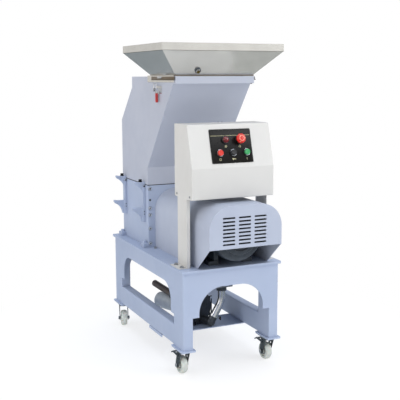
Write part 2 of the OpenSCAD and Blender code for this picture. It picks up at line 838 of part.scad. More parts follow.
module louvre_field() {
    first_z = table_top + cover_front_foot + louvre_foot;
    for (i = [0:louvre_columns - 1], j = [0:louvre_rows - 1])
        translate([(i - (louvre_columns - 1) / 2) * (louvre_length + louvre_gap) - louvre_shift,
            first_z + j * louvre_pitch]) slot(louvre_length, louvre_height);
}

module motor_cover() {
    color(light_blue) translate([cover_shift, 0, 0]) difference() {
        along_y(cover_front_y, chamber_front - 0.3) cover_outline(0);
        along_y(cover_front_y + cover_sheet, chamber_front + 1) cover_outline(cover_sheet);
        along_x(-cover_x - 1, cover_x + 1) polygon([[cover_front_y - 1, -1],
            [cover_front_y - 1, table_top + cover_front_foot],
            [cover_front_y + cover_sheet, table_top + cover_front_foot],
            [front_y + cover_side_foot, table_top], [chamber_front + 5, table_top],
            [chamber_front + 5, -1]]);
        along_y(cover_front_y - 1, cover_front_y + cover_sheet + 1) louvre_field();
    }
}

// Fan cowl: a pressed sheet hood with a rounded edge and a raised, slotted middle
boss_round = 6;
boss_rise = 7;
module fan_cowl() {
    edge = cowl_radius - cowl_round;
    color(dark_iron) translate([cover_shift, cowl_front, motor_z]) rotate([-90, 0, 0])
        difference() {
            rotate_extrude() {
                translate([0, boss_rise + cowl_round])
                    square([cowl_radius, cowl_length - boss_rise - cowl_round]);
                translate([0, boss_rise]) square([edge, cowl_length - boss_rise]);
                translate([edge, boss_rise + cowl_round]) intersection() {
                    circle(cowl_round);
                    translate([0, -cowl_round]) square(cowl_round);
                }
                translate([0, boss_round]) square([cowl_boss, boss_rise]);
                square([cowl_boss - boss_round, boss_rise]);
                translate([cowl_boss - boss_round, boss_round]) intersection() {
                    circle(boss_round);
                    translate([0, -boss_round]) square(boss_round);
                }
            }
            for (k = [0:2]) translate([0, 0, -1]) difference() {
                cylinder(h = 5, r = 30 + 16 * k);
                translate([0, 0, -1]) cylinder(h = 7, r = 22 + 16 * k);
            }
        }
}

foot_pad = 16;
module motor_body() {
    gear_height = cover_height - 55;
    post_rise = motor_z - 0.55 * motor_radius - table_top;
    color(dark_iron) translate([cover_shift, 0, 0]) {
        translate([0, cowl_rear, motor_z]) rotate([-90, 0, 0])
            cylinder(h = motor_length, r = motor_radius);
        for (a = [-50:20:230]) translate([0, cowl_rear + 6, motor_z]) rotate([0, -a, 0])
            translate([motor_radius - 2, 0, -2]) cube([fin_height + 2, motor_length - 20, 4]);
        for (s = [-1, 1]) translate([s * 78 - 22, cowl_rear + 20, table_top])
            cube([44, motor_length - 50, foot_pad]);
        for (s = [-1, 1]) translate([s * 62 - 10, cowl_rear + 30, table_top + foot_pad - 1])
            cube([20, motor_length - 70, post_rise - foot_pad]);
        translate([3 - motor_radius, motor_rear, motor_z + 3 - motor_radius])
            cube([2 * motor_radius - 6, flange_length, gear_height - 20]);
        translate([-100, motor_rear + flange_length, table_top])
            cube([170, chamber_front - motor_rear - flange_length - shaft_reach, gear_height]);
    }
}

// Control box
module control_box() {
    color(white_sheet) along_x(-box_x, box_x) rounded_outline([[box_front, box_foot],
        [box_rear, box_foot], [box_rear, box_top], [box_front + box_setback, box_top],
        [box_front, box_foot + box_lower_front]], box_radius);
}

module box_posts() {
    height = box_foot - table_top;
    color(white_sheet) {
        translate([-box_x, post_front, table_top]) linear_extrude(height) union() {
            square([post_sheet, post_depth]);
            square([14, post_sheet]);
            translate([0, post_depth - post_sheet]) square([14, post_sheet]);
        }
        translate([box_x - post_sheet, post_front, table_top])
            cube([post_sheet, post_depth, height]);
        for (s = [-1, 1]) translate([s > 0 ? box_x : -box_x - post_foot, post_front, table_top])
            cube([post_foot, post_depth, post_sheet]);
    }
}

// Places children on the sloping front: x across, s up the slope, +Z outwards
module on_slope(x, s) {
    translate([0, box_front, box_foot + box_lower_front]) rotate([slope_angle, 0, 0])
        translate([x, s, 0]) children();
}

button_row = panel_foot + 41.5;
lamp_row = panel_foot + 94.5;
module at_button(i) { on_slope(button_shift + i * button_pitch, button_row) children(); }

module control_panel() {
    color([0.05, 0.05, 0.06]) on_slope(0, panel_foot + panel_height / 2)
        linear_extrude(panel_thick) rounded_rect(panel_width, panel_height, 5);
}

module bezel() {
    difference() {
        cylinder(h = bezel_height, r1 = bezel_radius, r2 = bezel_radius - 1);
        translate([0, 0, -1]) cylinder(h = bezel_height + 2, r = button_radius + button_gap);
    }
}

module button_bezels() {
    color(zinc) {
        for (i = [-1, 0, 1]) at_button(i) translate([0, 0, panel_thick]) bezel();
        on_slope(-lamp_place, lamp_row) translate([0, 0, panel_thick]) bezel();
        on_slope(mushroom_place, lamp_row) translate([0, 0, panel_thick]) difference() {
            cylinder(h = bezel_height + 3, r = bezel_radius);
            translate([0, 0, -1]) cylinder(h = bezel_height + 5, r = button_radius + button_gap);
        }
    }
}

module lamp() {
    color([0.45, 0.04, 0.05]) on_slope(-lamp_place, lamp_row) translate([0, 0, panel_thick]) {
        cylinder(h = bezel_height, r = button_radius);
        translate([0, 0, bezel_height]) intersection() {
            translate([0, 0, -14]) sphere(18);
            cylinder(h = 10, r = button_radius);
        }
    }
}

module emergency_stop() {
    color([0.80, 0.05, 0.05]) on_slope(mushroom_place, lamp_row)
        translate([0, 0, panel_thick + mushroom_travel + 0.5]) {
            cylinder(h = 10, r = button_radius);
            translate([0, 0, 9.5]) rotate_extrude() polygon([[0, 0], [mushroom_radius - 2, 0],
                [mushroom_radius, 3], [mushroom_radius - 1, 8], [mushroom_radius - 5, 12],
                [0, 14]]);
        }
}

module push_cap() {
    translate([0, 0, panel_thick + button_travel + 0.5])
        cylinder(h = bezel_height - 0.5, r = button_radius);
}

module stop_button() { color([0.85, 0.10, 0.08]) at_button(-1) push_cap(); }
module reverse_button() { color([0.08, 0.08, 0.08]) at_button(0) push_cap(); }
module start_button() { color([0.10, 0.60, 0.25]) at_button(1) push_cap(); }

// Discharge and blower
pipe_x = 75;
pipe_y = -130;
collar_z = 285;
chute_half = 110;
chute_floor = collar_z + 12;

// Inclined channel from under the chamber down to the suction pipe
module chute_profile() {
    polygon([[chamber_rear - 30, stand_top], [chamber_rear - 30, stand_top - 40],
        [pipe_y + 30, chute_floor], [pipe_y - 40, chute_floor], [pipe_y - 40, chute_floor + 48],
        [chamber_front + 30, stand_top - 20], [chamber_front + 30, stand_top]]);
}

module chute_inner() {
    polygon([[chamber_rear - 33, stand_top + 1], [chamber_rear - 33, stand_top - 37],
        [pipe_y + 30, chute_floor + 3], [pipe_y - 37, chute_floor + 3],
        [pipe_y - 37, chute_floor + 45], [chamber_front + 33, stand_top - 23],
        [chamber_front + 33, stand_top + 1]]);
}

module discharge_chute() {
    color(zinc) difference() {
        along_x(-chute_half, chute_half) chute_profile();
        along_x(-chute_half + 3, chute_half - 3) chute_inner();
        translate([pipe_x, pipe_y, chute_floor - 1]) cylinder(h = 5, r = pipe_radius - pipe_wall);
    }
}

// Blower: fan housing on the shelf, turned so that its motor points to the left rear
blower_x = -24;
blower_y = -60;
blower_z = shelf_top + 64;
face_gap = 0.3;
front_plate = 6;
module at_blower() {
    translate([blower_x, blower_y, blower_z]) rotate([0, 0, blower_turn]) children();
}

// Suction pipe: a bent upper pipe, and a straight lower one that slips over its end
// and stands in the housing's inlet elbow
bend_z = 250;
neck_radius = pipe_radius + 2;
neck_z = shelf_top + neck_radius + 3;
bend_x = pipe_x - pipe_bend * (1 - cos(pipe_angle));
bend_foot = bend_z - pipe_bend * sin(pipe_angle);
pipe_run = (bend_foot - neck_z) / cos(pipe_angle);
neck_x = bend_x - pipe_run * sin(pipe_angle);
socket = 24;
band_height = 9;
slip = 0.6;
module pipe_ring(extra) {
    difference() {
        circle(pipe_radius + extra);
        circle(pipe_radius - pipe_wall - extra);
    }
}

module suction_pipe() {
    color(chrome_steel) {
        translate([pipe_x, pipe_y, bend_z]) linear_extrude(chute_floor - bend_z) pipe_ring(0);
        translate([pipe_x - pipe_bend, pipe_y, bend_z]) rotate([-90, 0, 0])
            rotate_extrude(angle = pipe_angle) translate([pipe_bend, 0]) pipe_ring(0);
        translate([bend_x, pipe_y, bend_foot]) rotate([0, pipe_angle, 0])
            translate([0, 0, socket + face_gap - pipe_run]) {
                linear_extrude(pipe_run - socket - face_gap + 1) pipe_ring(slip);
                translate([0, 0, 1]) linear_extrude(band_height) difference() {
                    circle(pipe_radius + 4);
                    circle(pipe_radius - pipe_wall / 2);
                }
            }
    }
}

// Cast inlet elbow between the suction pipe and the housing's front
neck_length = (blower_y - pipe_y) * cos(blower_turn) + (neck_x - blower_x) * sin(blower_turn)
    - blower_width / 2;
module inlet_elbow() {
    translate([neck_x, pipe_y, neck_z]) {
        sphere(neck_radius + 2);
        rotate([0, pipe_angle, 0]) cylinder(h = socket, r = neck_radius);
        rotate([0, 0, blower_turn]) rotate([-90, 0, 0])
            cylinder(h = neck_length + 1, r = neck_radius);
    }
}

module pipe_collars() {
    color(dark_iron) {
        translate([pipe_x, pipe_y, collar_z - 10]) difference() {
            cylinder(h = 22, r = pipe_radius + 6);
            translate([0, 0, -1]) cylinder(h = 24, r = pipe_radius);
        }
        translate([-outlet_place, outlet_front + 40, outlet_z]) rotate([-90, 0, 0]) difference() {
            cylinder(h = 16, r = outlet_radius + 5);
            translate([0, 0, -1]) cylinder(h = 18, r = outlet_radius);
        }
    }
}

module blower_shelf() {
    color(light_blue) {
        translate([-side_x, shelf_front, shelf_top - shelf_thick])
            cube([stand_width, shelf_depth, shelf_thick]);
        for (x = [-side_x, side_x - shelf_thick])
            translate([x, shelf_front, shelf_top - shelf_flange])
                cube([shelf_thick, shelf_depth, shelf_flange]);
    }
}

// Spiral of the fan housing from three quarter arcs, with its outlet to the left
scroll_step = 7;
scroll_radius = 56;
duct_top = scroll_radius + 5 * scroll_step;
duct_height = 34;
duct_depth = 34;
duct_reach = 92;
outlet_front = blower_y - duct_reach * sin(blower_turn);
outlet_z = blower_z + duct_top - duct_height / 2;
outlet_length = 270;
outlet_bore = 196;
module quarter(r, a) {
    rotate(a) intersection() {
        circle(r);
        square(r);
    }
}

module scroll_outline(d) {
    s = scroll_step;
    r = scroll_radius;
    top = duct_top - d;
    left = r - s - d;
    translate([s, -s]) quarter(r - d, 180);
    translate([s, s]) quarter(r + 2 * s - d, 270);
    translate([-s, s]) quarter(r + 4 * s - d, 0);
    translate([-left, -s - 1]) square([left + s + 1, 2 * s + 2]);
    translate([-left, -s]) square([left - s + 1, top + s]);
    translate([-s - 1, s - 1]) square([2 * s + 2, s]);
}

// Housing with its front plate, duct, motor flange, feet, inlet elbow and outlet pipe
module fan_casing() {
    at_blower() {
        rotate([90, 0, 0]) linear_extrude(blower_width, center = true) scroll_outline(0);
        rotate([90, 0, 0]) translate([0, 0, blower_width / 2 - 1]) linear_extrude(front_plate + 1)
            scroll_outline(6);
        translate([-duct_reach, -duct_depth / 2, duct_top - duct_height])
            cube([duct_reach, duct_depth, duct_height]);
        translate([0, blower_width / 2 - 1, 0]) rotate([-90, 0, 0])
            cylinder(h = 7, r = blower_motor_radius + 7);
        for (x = [-42, 22]) translate([x, -blower_width / 2, shelf_top - blower_z])
            cube([24, blower_width, 26]);
    }
    inlet_elbow();
    translate([-outlet_place, outlet_front, outlet_z]) {
        sphere(outlet_radius + 2);
        rotate([-90, 0, 0]) cylinder(h = outlet_length, r = outlet_radius);
    }
}

module blower_housing() {
    color(dark_iron) difference() {
        fan_casing();
        translate([-outlet_place, outlet_front + outlet_length - outlet_bore, outlet_z])
            rotate([-90, 0, 0]) cylinder(h = outlet_bore + 4, r = outlet_radius - pipe_wall);
    }
}

// Blower motor with its hood, which ends in a dome
hood_dome = 18;
module blower_motor() {
    hood_radius = blower_motor_radius - 2;
    color(zinc) at_blower() translate([0, blower_width / 2 + 6.3, 0]) rotate([-90, 0, 0]) {
        cylinder(h = blower_motor_length, r = blower_motor_radius);
        translate([0, 0, blower_motor_length - 1])
            cylinder(h = blower_hood - hood_dome + 1, r = hood_radius);
        translate([0, 0, blower_motor_length + blower_hood - hood_dome]) intersection() {
            translate([0, 0, -26]) sphere(44);
            cylinder(h = hood_dome, r = hood_radius);
        }
    }
}

stand_legs();
side_rails();
apron_plates();
table_plate();
foot_plates();
caster_mounts();
caster_fork_fl();
caster_fork_fr();
caster_fork_rl();
caster_fork_rr();
caster_wheel_fl();
caster_wheel_fr();
caster_wheel_rl();
caster_wheel_rr();
cutting_chamber();
chamber_feet();
rotor();
screen();
clamp_brackets();
clamp_bolts();
hopper_body();
feed_tray();
tray_hinge_fixed();
tray_hinge_leaf();
latch_base();
latch_lever();
motor_cover();
motor_body();
fan_cowl();
control_box();
box_posts();
control_panel();
button_bezels();
lamp();
emergency_stop();
stop_button();
reverse_button();
start_button();
discharge_chute();
suction_pipe();
pipe_collars();
blower_shelf();
blower_housing();
blower_motor();
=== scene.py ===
# %% [markdown]
# Mobile plastic crusher
# A plastic crusher stands beside a moulding machine and chews sprues back into
# grains. This lesson dresses its CAD model for one studio picture: the solids
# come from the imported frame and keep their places, and each one gets the finish
# of the real sheet, casting or moulding. Small fittings that the CAD leaves out
# are modelled here with bmesh operators and ride on the CAD bodies.

import math

import bmesh
import bpy
from mathutils import Matrix, Vector


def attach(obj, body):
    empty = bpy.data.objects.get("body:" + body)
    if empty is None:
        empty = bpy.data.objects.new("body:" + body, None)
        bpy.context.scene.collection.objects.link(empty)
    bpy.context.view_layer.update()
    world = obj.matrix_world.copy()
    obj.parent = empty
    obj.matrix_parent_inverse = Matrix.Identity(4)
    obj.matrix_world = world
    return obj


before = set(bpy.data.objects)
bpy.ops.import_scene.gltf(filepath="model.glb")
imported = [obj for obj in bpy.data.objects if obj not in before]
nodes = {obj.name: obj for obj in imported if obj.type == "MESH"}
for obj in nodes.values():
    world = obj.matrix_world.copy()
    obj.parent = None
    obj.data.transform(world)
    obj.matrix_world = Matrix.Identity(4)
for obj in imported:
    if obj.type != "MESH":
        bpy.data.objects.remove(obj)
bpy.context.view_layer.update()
print("CAD nodes:", len(nodes))

# %% [markdown]
# The camera comes first, because every finish is judged through it. The machine
# was photographed from its front left, a little above the control panel, with a
# long lens that keeps the uprights nearly parallel. The angles are in radians.

# %% Camera
MM = 0.001
IMAGE_PIXELS, FOCAL_PIXELS = 400, 775.83
SENSOR_MM = 36.0
CAMERA_PLACE = Vector((-1410.3, -3119.6, 1206.2)) * MM
CAMERA_YAW, CAMERA_PITCH, CAMERA_ROLL = -0.43295, -0.15664, -0.00306

scene = bpy.context.scene
camera = bpy.data.objects.new("camera", bpy.data.cameras.new("camera"))
camera.data.sensor_width = SENSOR_MM
camera.data.lens = FOCAL_PIXELS / IMAGE_PIXELS * SENSOR_MM
camera.matrix_world = (Matrix.Translation(CAMERA_PLACE)
                       @ Matrix.Rotation(CAMERA_YAW, 4, "Z")
                       @ Matrix.Rotation(math.pi / 2 + CAMERA_PITCH, 4, "X")
                       @ Matrix.Rotation(CAMERA_ROLL, 4, "Z"))
scene.collection.objects.link(camera)
scene.camera = camera
print("lens in mm:", round(camera.data.lens, 1))

# %% [markdown]
# Every finish below is a small tree of shader nodes. One helper adds a node,
# sets its settings and its sockets, and links a socket where its value is
# another node's output. Colours are written as the hex values that a screen
# shows and are turned to linear light by one function.

# %% Helpers for shader nodes
made_finishes = []


def linear(hex_colour):
    """The linear RGBA of a screen colour such as B4BED2."""
    parts = [int(hex_colour[i:i + 2], 16) / 255 for i in (0, 2, 4)]
    return [c / 12.92 if c <= 0.04045 else ((c + 0.055) / 1.055) ** 2.4 for c in parts] + [1.0]


def add(tree, kind, sockets=None, **settings):
    """Adds a node to the tree, with its settings, its socket values and its links."""
    made = tree.nodes.new(kind)
    for name, value in settings.items():
        setattr(made, name, value)
    for name, value in (sockets or {}).items():
        if isinstance(value, bpy.types.NodeSocket):
            tree.links.new(value, made.inputs[name])
        else:
            made.inputs[name].default_value = value
    return made


def new_finish(name):
    """An empty material with its tree and its object coordinates."""
    finish = bpy.data.materials.new(name)
    finish.use_nodes = True
    finish.node_tree.nodes.clear()
    made_finishes.append(name)
    place = add(finish.node_tree, "ShaderNodeTexCoord").outputs["Object"]
    return finish, finish.node_tree, place


def close_finish(tree, sockets):
    """Adds the surface shader with these sockets and joins it to the output."""
    shader = add(tree, "ShaderNodeBsdfPrincipled", sockets)
    add(tree, "ShaderNodeOutputMaterial", {"Surface": shader.outputs["BSDF"]})


print("helpers: linear, add, new_finish, close_finish")

# %% [markdown]
# No real surface has one colour or one gloss. A noise whose patches have a real
# size, in millimetres on the machine, makes both wander a little, and the same
# noise gives fine relief. Most of a noise lies between 0.3 and 0.7, so that
# stretch is what gets mapped to the wanted range.

# %% Helpers for uneven surfaces
NOISE_LOW, NOISE_HIGH = 0.3, 0.7


def grain(tree, place, size_mm, detail=2.0, stretch=(1, 1, 1)):
    """A noise whose grains measure size_mm, in the object's own space."""
    spot = add(tree, "ShaderNodeMapping", {"Vector": place, "Scale": stretch})
    return add(tree, "ShaderNodeTexNoise", {
        "Vector": spot.outputs["Vector"], "Scale": 1 / (size_mm * MM),
        "Detail": detail}).outputs["Fac"]


def spread(tree, value, low, high, start=NOISE_LOW, end=NOISE_HIGH):
    """Maps a value's range from start to end onto the range from low to high."""
    return add(tree, "ShaderNodeMapRange", {
        "Value": value, "From Min": start, "From Max": end,
        "To Min": low, "To Max": high}).outputs["Result"]


def wander(tree, place, size_mm, low=0.0, high=1.0, detail=3.0):
    """A value that wanders between low and high over patches of size_mm."""
    return spread(tree, grain(tree, place, size_mm, detail), low, high)


def blend_colours(tree, factor, first, second):
    """A colour between two colours, each a hex value or a socket, by a factor socket."""
    mixed = add(tree, "ShaderNodeMix", {"Factor": factor}, data_type="RGBA")
    ends = [socket for socket in mixed.inputs if socket.type == "RGBA"]
    for socket, colour in zip(ends, (first, second)):
        if isinstance(colour, str):
            socket.default_value = linear(colour)
        else:
            tree.links.new(colour, socket)
    return [socket for socket in mixed.outputs if socket.type == "RGBA"][0]


def bumps(tree, height, depth_mm):
    """A bump of that depth from a height socket."""
    return add(tree, "ShaderNodeBump", {
        "Height": height, "Distance": depth_mm * MM}).outputs["Normal"]


print("a noise is mapped from", NOISE_LOW, "to", NOISE_HIGH)

# %% [markdown]
# Powder coat is a plastic skin, baked onto steel sheet. It flows a little as it
# bakes, which leaves a soft ripple called orange peel, and it is a satin rather
# than a mirror. The real ripple is about 1 mm wide; it is drawn at 3 mm, or it
# would be lost in the picture. A wide, faint cloud keeps big panels from looking
# like flat fills.

# %% Powder coats
CLOUD_MM, SATIN_MM, PEEL_MM, PEEL_DEPTH_MM = 160, 40, 3.0, 0.05
POWDER_ROUGHNESS, PLASTIC_IOR = (0.37, 0.48), 1.5


def powder_coat(name, light, dark):
    """Powder coat on sheet steel, between two close tones."""
    finish, tree, place = new_finish(name)
    cloud = wander(tree, place, CLOUD_MM)
    satin = wander(tree, place, SATIN_MM, *POWDER_ROUGHNESS, detail=4.0)
    close_finish(tree, {"Base Color": blend_colours(tree, cloud, light, dark),
                        "Roughness": satin, "IOR": PLASTIC_IOR,
                        "Normal": bumps(tree, grain(tree, place, PEEL_MM), PEEL_DEPTH_MM)})
    return finish


blue_powder = powder_coat("light_blue_powder_coat", "AEB9CF", "A8B4CB")
# The cover and the hopper wear the same blue coat as the stand. Their greyer copies are painted
# light: they stand in for the warmer light that falls on the upper parts.
cover_powder_painted_light = powder_coat("blue_powder_greyed_as_painted_light_cover", "B4BBCA", "AFB6C6")
hopper_powder_painted_light = powder_coat("blue_powder_greyed_as_painted_light_hopper", "B7BBC7", "B2B7C4")
white_powder = powder_coat("warm_white_powder_coat", "D4D2CD", "CFCDC8")
print("powder coats:", made_finishes)

# %% [markdown]
# The feed tray is stainless sheet with a dull mill finish. Fine rolled lines run
# level round it, so highlights smear up and down the sheet. A noise that is drawn
# out fifty times along the level axes gives those lines; the real ones are finer
# than a pixel, so they are drawn 1.5 mm wide. Its microscopic pits scatter a part
# of the light as a white wall would, so it isn't fully metallic. Metals keep the
# default IOR.

# %% Stainless sheet
ROLLED_LINE_MM, ROLLED_DEPTH_MM, SMEAR_MM = 1.5, 0.004, 60
DRAWN_OUT_LEVEL = (0.02, 0.02, 1)
TRAY_ROUGHNESS, TRAY_METALLIC = (0.17, 0.24), 0.82

tray_steel, steel_tree, steel_place = new_finish("mill_finish_stainless")
rolled_lines = grain(steel_tree, steel_place, ROLLED_LINE_MM, detail=3.0,
                     stretch=DRAWN_OUT_LEVEL)
steel_tone = wander(steel_tree, steel_place, SMEAR_MM)
close_finish(steel_tree, {
    "Base Color": blend_colours(steel_tree, steel_tone, "E6E5E0", "DEDDD8"),
    "Metallic": TRAY_METALLIC,
    "Roughness": spread(steel_tree, rolled_lines, *TRAY_ROUGHNESS),
    "Normal": bumps(steel_tree, rolled_lines, ROLLED_DEPTH_MM)})
print("stainless sheet, width of a line in mm:", ROLLED_LINE_MM)

# %% [markdown]
# Zinc, nickel and chrome are plated, and bolts and hinges are blackened. Such a
# skin is all metal. Its crystals show as specks of a few millimetres, and its
# polish is uneven, so the gloss wanders more than the colour.

# %% Plated and blackened metals
SPECK_MM, POLISH_MM, PLATE_GRAIN_MM, PLATE_DEPTH_MM = 4.0, 9, 2.0, 0.01
PLATE_SMOOTHER, PLATE_ROUGHER = 0.05, 0.08


def plated_steel(name, light, dark, roughness):
    """A plated or blackened metal skin between two tones."""
    finish, tree, place = new_finish(name)
    speck = wander(tree, place, SPECK_MM, detail=4.0)
    polish = wander(tree, place, POLISH_MM,
                    roughness - PLATE_SMOOTHER, roughness + PLATE_ROUGHER)
    close_finish(tree, {
        "Base Color": blend_colours(tree, speck, light, dark),
        "Metallic": 1.0, "Roughness": polish,
        "Normal": bumps(tree, grain(tree, place, PLATE_GRAIN_MM), PLATE_DEPTH_MM)})
    return finish


zinc_plate = plated_steel("bright_zinc_plate", "A9ACB0", "8E9196", 0.30)
fork_zinc = plated_steel("dull_zinc_plate", "8C9094", "6E7276", 0.30)
chrome_plate = plated_steel("chrome_plate", "E4E6EA", "D4D7DC", 0.22)
bezel_chrome = plated_steel("satin_chromed_bezel", "C8CBCF", "B2B6BB", 0.24)
bright_nickel = plated_steel("bright_nickel_plate", "E2E6EC", "D2D7DE", 0.34)
cutter_steel = plated_steel("ground_cutter_steel", "9C9C98", "7F7F7C", 0.34)
black_steel = plated_steel("blackened_steel", "3A3A3C", "2A2A2C", 0.42)
guard_steel = plated_steel("blued_guard_steel", "4A515B", "363C45", 0.30)
bronze_steel = plated_steel("bronzed_spring_steel", "9A8B78", "85786A", 0.34)
plug_bronze = plated_steel("turned_bronze", "7A6B3E", "665932", 0.30)
# The last tone is no metal skin: it paints the shade in the fold under the tray's rim.
fold_shade_paint = plated_steel("painted_shade_in_rim_fold", "6E6A62", "5F5B54", 0.5)
print("finishes so far:", len(made_finishes))

# %% [markdown]
# Cast and moulded parts share one recipe: a colour that wanders a little, a
# roughness that wanders with it, and a fine grain in relief. Cast iron and cast
# aluminium take a coarse, deep grain, and moulded plastic a fine, shallow one.
# The tone changes over eight grains and the gloss over five.

# %% Castings, plastics and rubber
TONE_GRAINS, GLOSS_GRAINS = 8, 5
MOULD_SMOOTHER, MOULD_ROUGHER = 0.04, 0.06


def moulded(name, light, dark, roughness, grain_mm, depth_mm, extra=None):
    """A cast or moulded skin, with extra sockets where it needs them."""
    finish, tree, place = new_finish(name)
    tone = wander(tree, place, grain_mm * TONE_GRAINS)
    gloss = wander(tree, place, grain_mm * GLOSS_GRAINS,
                   roughness - MOULD_SMOOTHER, roughness + MOULD_ROUGHER, detail=2.0)
    close_finish(tree, {"Base Color": blend_colours(tree, tone, light, dark),
                        "Roughness": gloss,
                        "Normal": bumps(tree, grain(tree, place, grain_mm), depth_mm),
                        **(extra or {})})
    return finish


motor_paint = moulded("dark_grey_motor_enamel", "3F464E", "31373E", 0.32, 2.5, 0.04)
blower_motor_paint = moulded("grey_blower_enamel", "BCC5CE", "AAB3BD", 0.35, 2.5, 0.04)
wheel_nylon = moulded("white_nylon", "D6DAD2", "C4C9C1", 0.38, 2.0, 0.03,
                      {"Subsurface Weight": 0.05})
stop_plastic = moulded("red_button_plastic", "D8301F", "C92A1B", 0.28, 1.5, 0.01)
mushroom_plastic = moulded("red_mushroom_plastic", "D6261A", "C82117", 0.26, 1.5, 0.01)
mushroom_light = moulded("light_red_mushroom_ring", "F2937E", "EA8470", 0.30, 1.5, 0.01)
start_plastic = moulded("green_button_plastic", "2FA35A", "279350", 0.28, 1.5, 0.01)
black_plastic = moulded("black_button_plastic", "1B1B1D", "141416", 0.30, 1.5, 0.01)
lamp_plastic = moulded("red_lamp_lens", "6E0A14", "5C0810", 0.10, 1.5, 0.01,
                       {"Coat Weight": 0.6})
panel_foil = moulded("black_printed_panel", "0D0C09", "0A0907", 0.30, 2.0, 0.01,
                     {"Specular IOR Level": 0.25})
rule_ink = moulded("ivory_panel_ink", "C9C49A", "BFBA92", 0.5, 2.0, 0.0)
gasket_rubber = moulded("brown_sealing_rubber", "736A60", "635A51", 0.65, 2.0, 0.05)
black_rubber = moulded("black_sealing_rubber", "2A2C30", "222427", 0.60, 2.0, 0.05)
print("finishes so far:", len(made_finishes))

# %% [markdown]
# Two CAD nodes carry two finishes each. The latch's lever is chromed steel whose
# lower end was dipped in red vinyl, and the blower's cast housing runs out into a
# brown plastic pipe. A mask from 0 to 1 switches the colour, the metal and the
# gloss together, so each finish is written as its light tone, its dark tone, its
# metallic share and its roughness.

# %% Two-tone recipe
TWO_TONE_DEPTH_MM = 0.03


def two_tone(name, mask_of, first, second, grain_mm):
    """Shows the first finish where the mask is 0 and the second where it is 1."""
    finish, tree, place = new_finish(name)
    mask = mask_of(tree, place)
    tone = wander(tree, place, grain_mm * TONE_GRAINS)
    colours = [blend_colours(tree, tone, light, dark) for light, dark, _, _ in (first, second)]
    close_finish(tree, {
        "Base Color": blend_colours(tree, mask, *colours),
        "Metallic": spread(tree, mask, first[2], second[2], 0.0, 1.0),
        "Roughness": spread(tree, mask, first[3], second[3], 0.0, 1.0),
        "Normal": bumps(tree, grain(tree, place, grain_mm), TWO_TONE_DEPTH_MM)})
    return finish


print("relief of two-tone finishes in mm:", TWO_TONE_DEPTH_MM)

# %% [markdown]
# The masks are measured in the object's own space: the height above the floor
# for the dip, and the distance from the pipe's axis, which lies along Y, for the
# pipe. The vinyl ends in a soft edge 1 mm wide. The pipe's edge is the housing's
# wall, just outside the pipe's skin.

# %% Masks for the dip and the pipe
DIP_LINE, DIP_EDGE = 1.141, 0.0005
PIPE_AXIS_X, PIPE_AXIS_Z, PIPE_SKIN = -0.120, 0.254, 0.0158
PIPE_EDGE_NEAR, PIPE_EDGE_FAR = 0.0002, 0.0006


def below_dip_line(tree, place):
    """1 below the dip line of the lever, 0 above it."""
    level = add(tree, "ShaderNodeSeparateXYZ", {"Vector": place}).outputs["Z"]
    return spread(tree, level, 0.0, 1.0, DIP_LINE + DIP_EDGE, DIP_LINE - DIP_EDGE)


def near_pipe_axis(tree, place):
    """1 on the outlet pipe, 0 on the housing."""
    flat = add(tree, "ShaderNodeVectorMath",
               {0: place, 1: (1, 0, 1), 2: (-PIPE_AXIS_X, 0, -PIPE_AXIS_Z)},
               operation="MULTIPLY_ADD").outputs["Vector"]
    away = add(tree, "ShaderNodeVectorMath", {0: flat}, operation="LENGTH").outputs["Value"]
    return spread(tree, away, 0.0, 1.0, PIPE_SKIN + PIPE_EDGE_FAR, PIPE_SKIN + PIPE_EDGE_NEAR)


lever_finish = two_tone("chromed_lever_dipped_in_vinyl", below_dip_line,
                        ("D2D4D8", "BFC2C8", 1.0, 0.14), ("C2201C", "A81A17", 0.0, 0.32), 2.0)
blower_finish = two_tone("cast_housing_with_brown_pipe", near_pipe_axis,
                         ("565A60", "43474C", 0.7, 0.38), ("4A403A", "3A322D", 0.0, 0.45), 2.5)
print("two-tone finishes:", made_finishes[-2:])

# %% [markdown]
# Each CAD node now takes its finish. The object keeps its mesh; only its material
# slots are filled.

# %% Finishes for the CAD nodes
FINISHES = (
    (blue_powder, "stand_legs side_rails apron_plates table_plate foot_plates "
                  "blower_shelf cutting_chamber chamber_feet clamp_brackets"),
    (hopper_powder_painted_light, "hopper_body"),
    (cover_powder_painted_light, "motor_cover"),
    (white_powder, "control_box box_posts"),
    (tray_steel, "feed_tray"),
    (zinc_plate, "caster_mounts discharge_chute"),
    (fork_zinc, "caster_fork_fl caster_fork_fr caster_fork_rl caster_fork_rr"),
    (wheel_nylon, "caster_wheel_fl caster_wheel_fr caster_wheel_rl caster_wheel_rr"),
    (cutter_steel, "rotor screen"),
    (black_steel, "clamp_bolts tray_hinge_fixed tray_hinge_leaf"),
    (chrome_plate, "latch_base suction_pipe"),
    (lever_finish, "latch_lever"),
    (motor_paint, "motor_body fan_cowl pipe_collars"),
    (blower_finish, "blower_housing"),
    (blower_motor_paint, "blower_motor"),
    (panel_foil, "control_panel"),
    (bezel_chrome, "button_bezels"),
    (lamp_plastic, "lamp"),
    (mushroom_plastic, "emergency_stop"),
    (stop_plastic, "stop_button"),
    (black_plastic, "reverse_button"),
    (start_plastic, "start_button"),
)
bare_nodes = set(nodes)
for finish, node_names in FINISHES:
    for node_name in node_names.split():
        slots = nodes[node_name].data.materials
        slots.clear()
        slots.append(finish)
        bare_nodes.remove(node_name)
print("nodes without a finish:", sorted(bare_nodes))

# %% [markdown]
# Real sheet edges are never knife sharp. A Weld and a Bevel modifier on the
# boxy nodes give each sharp edge a small round that catches the light, while
# the CAD mesh itself stays as it came. The widths are in millimetres.

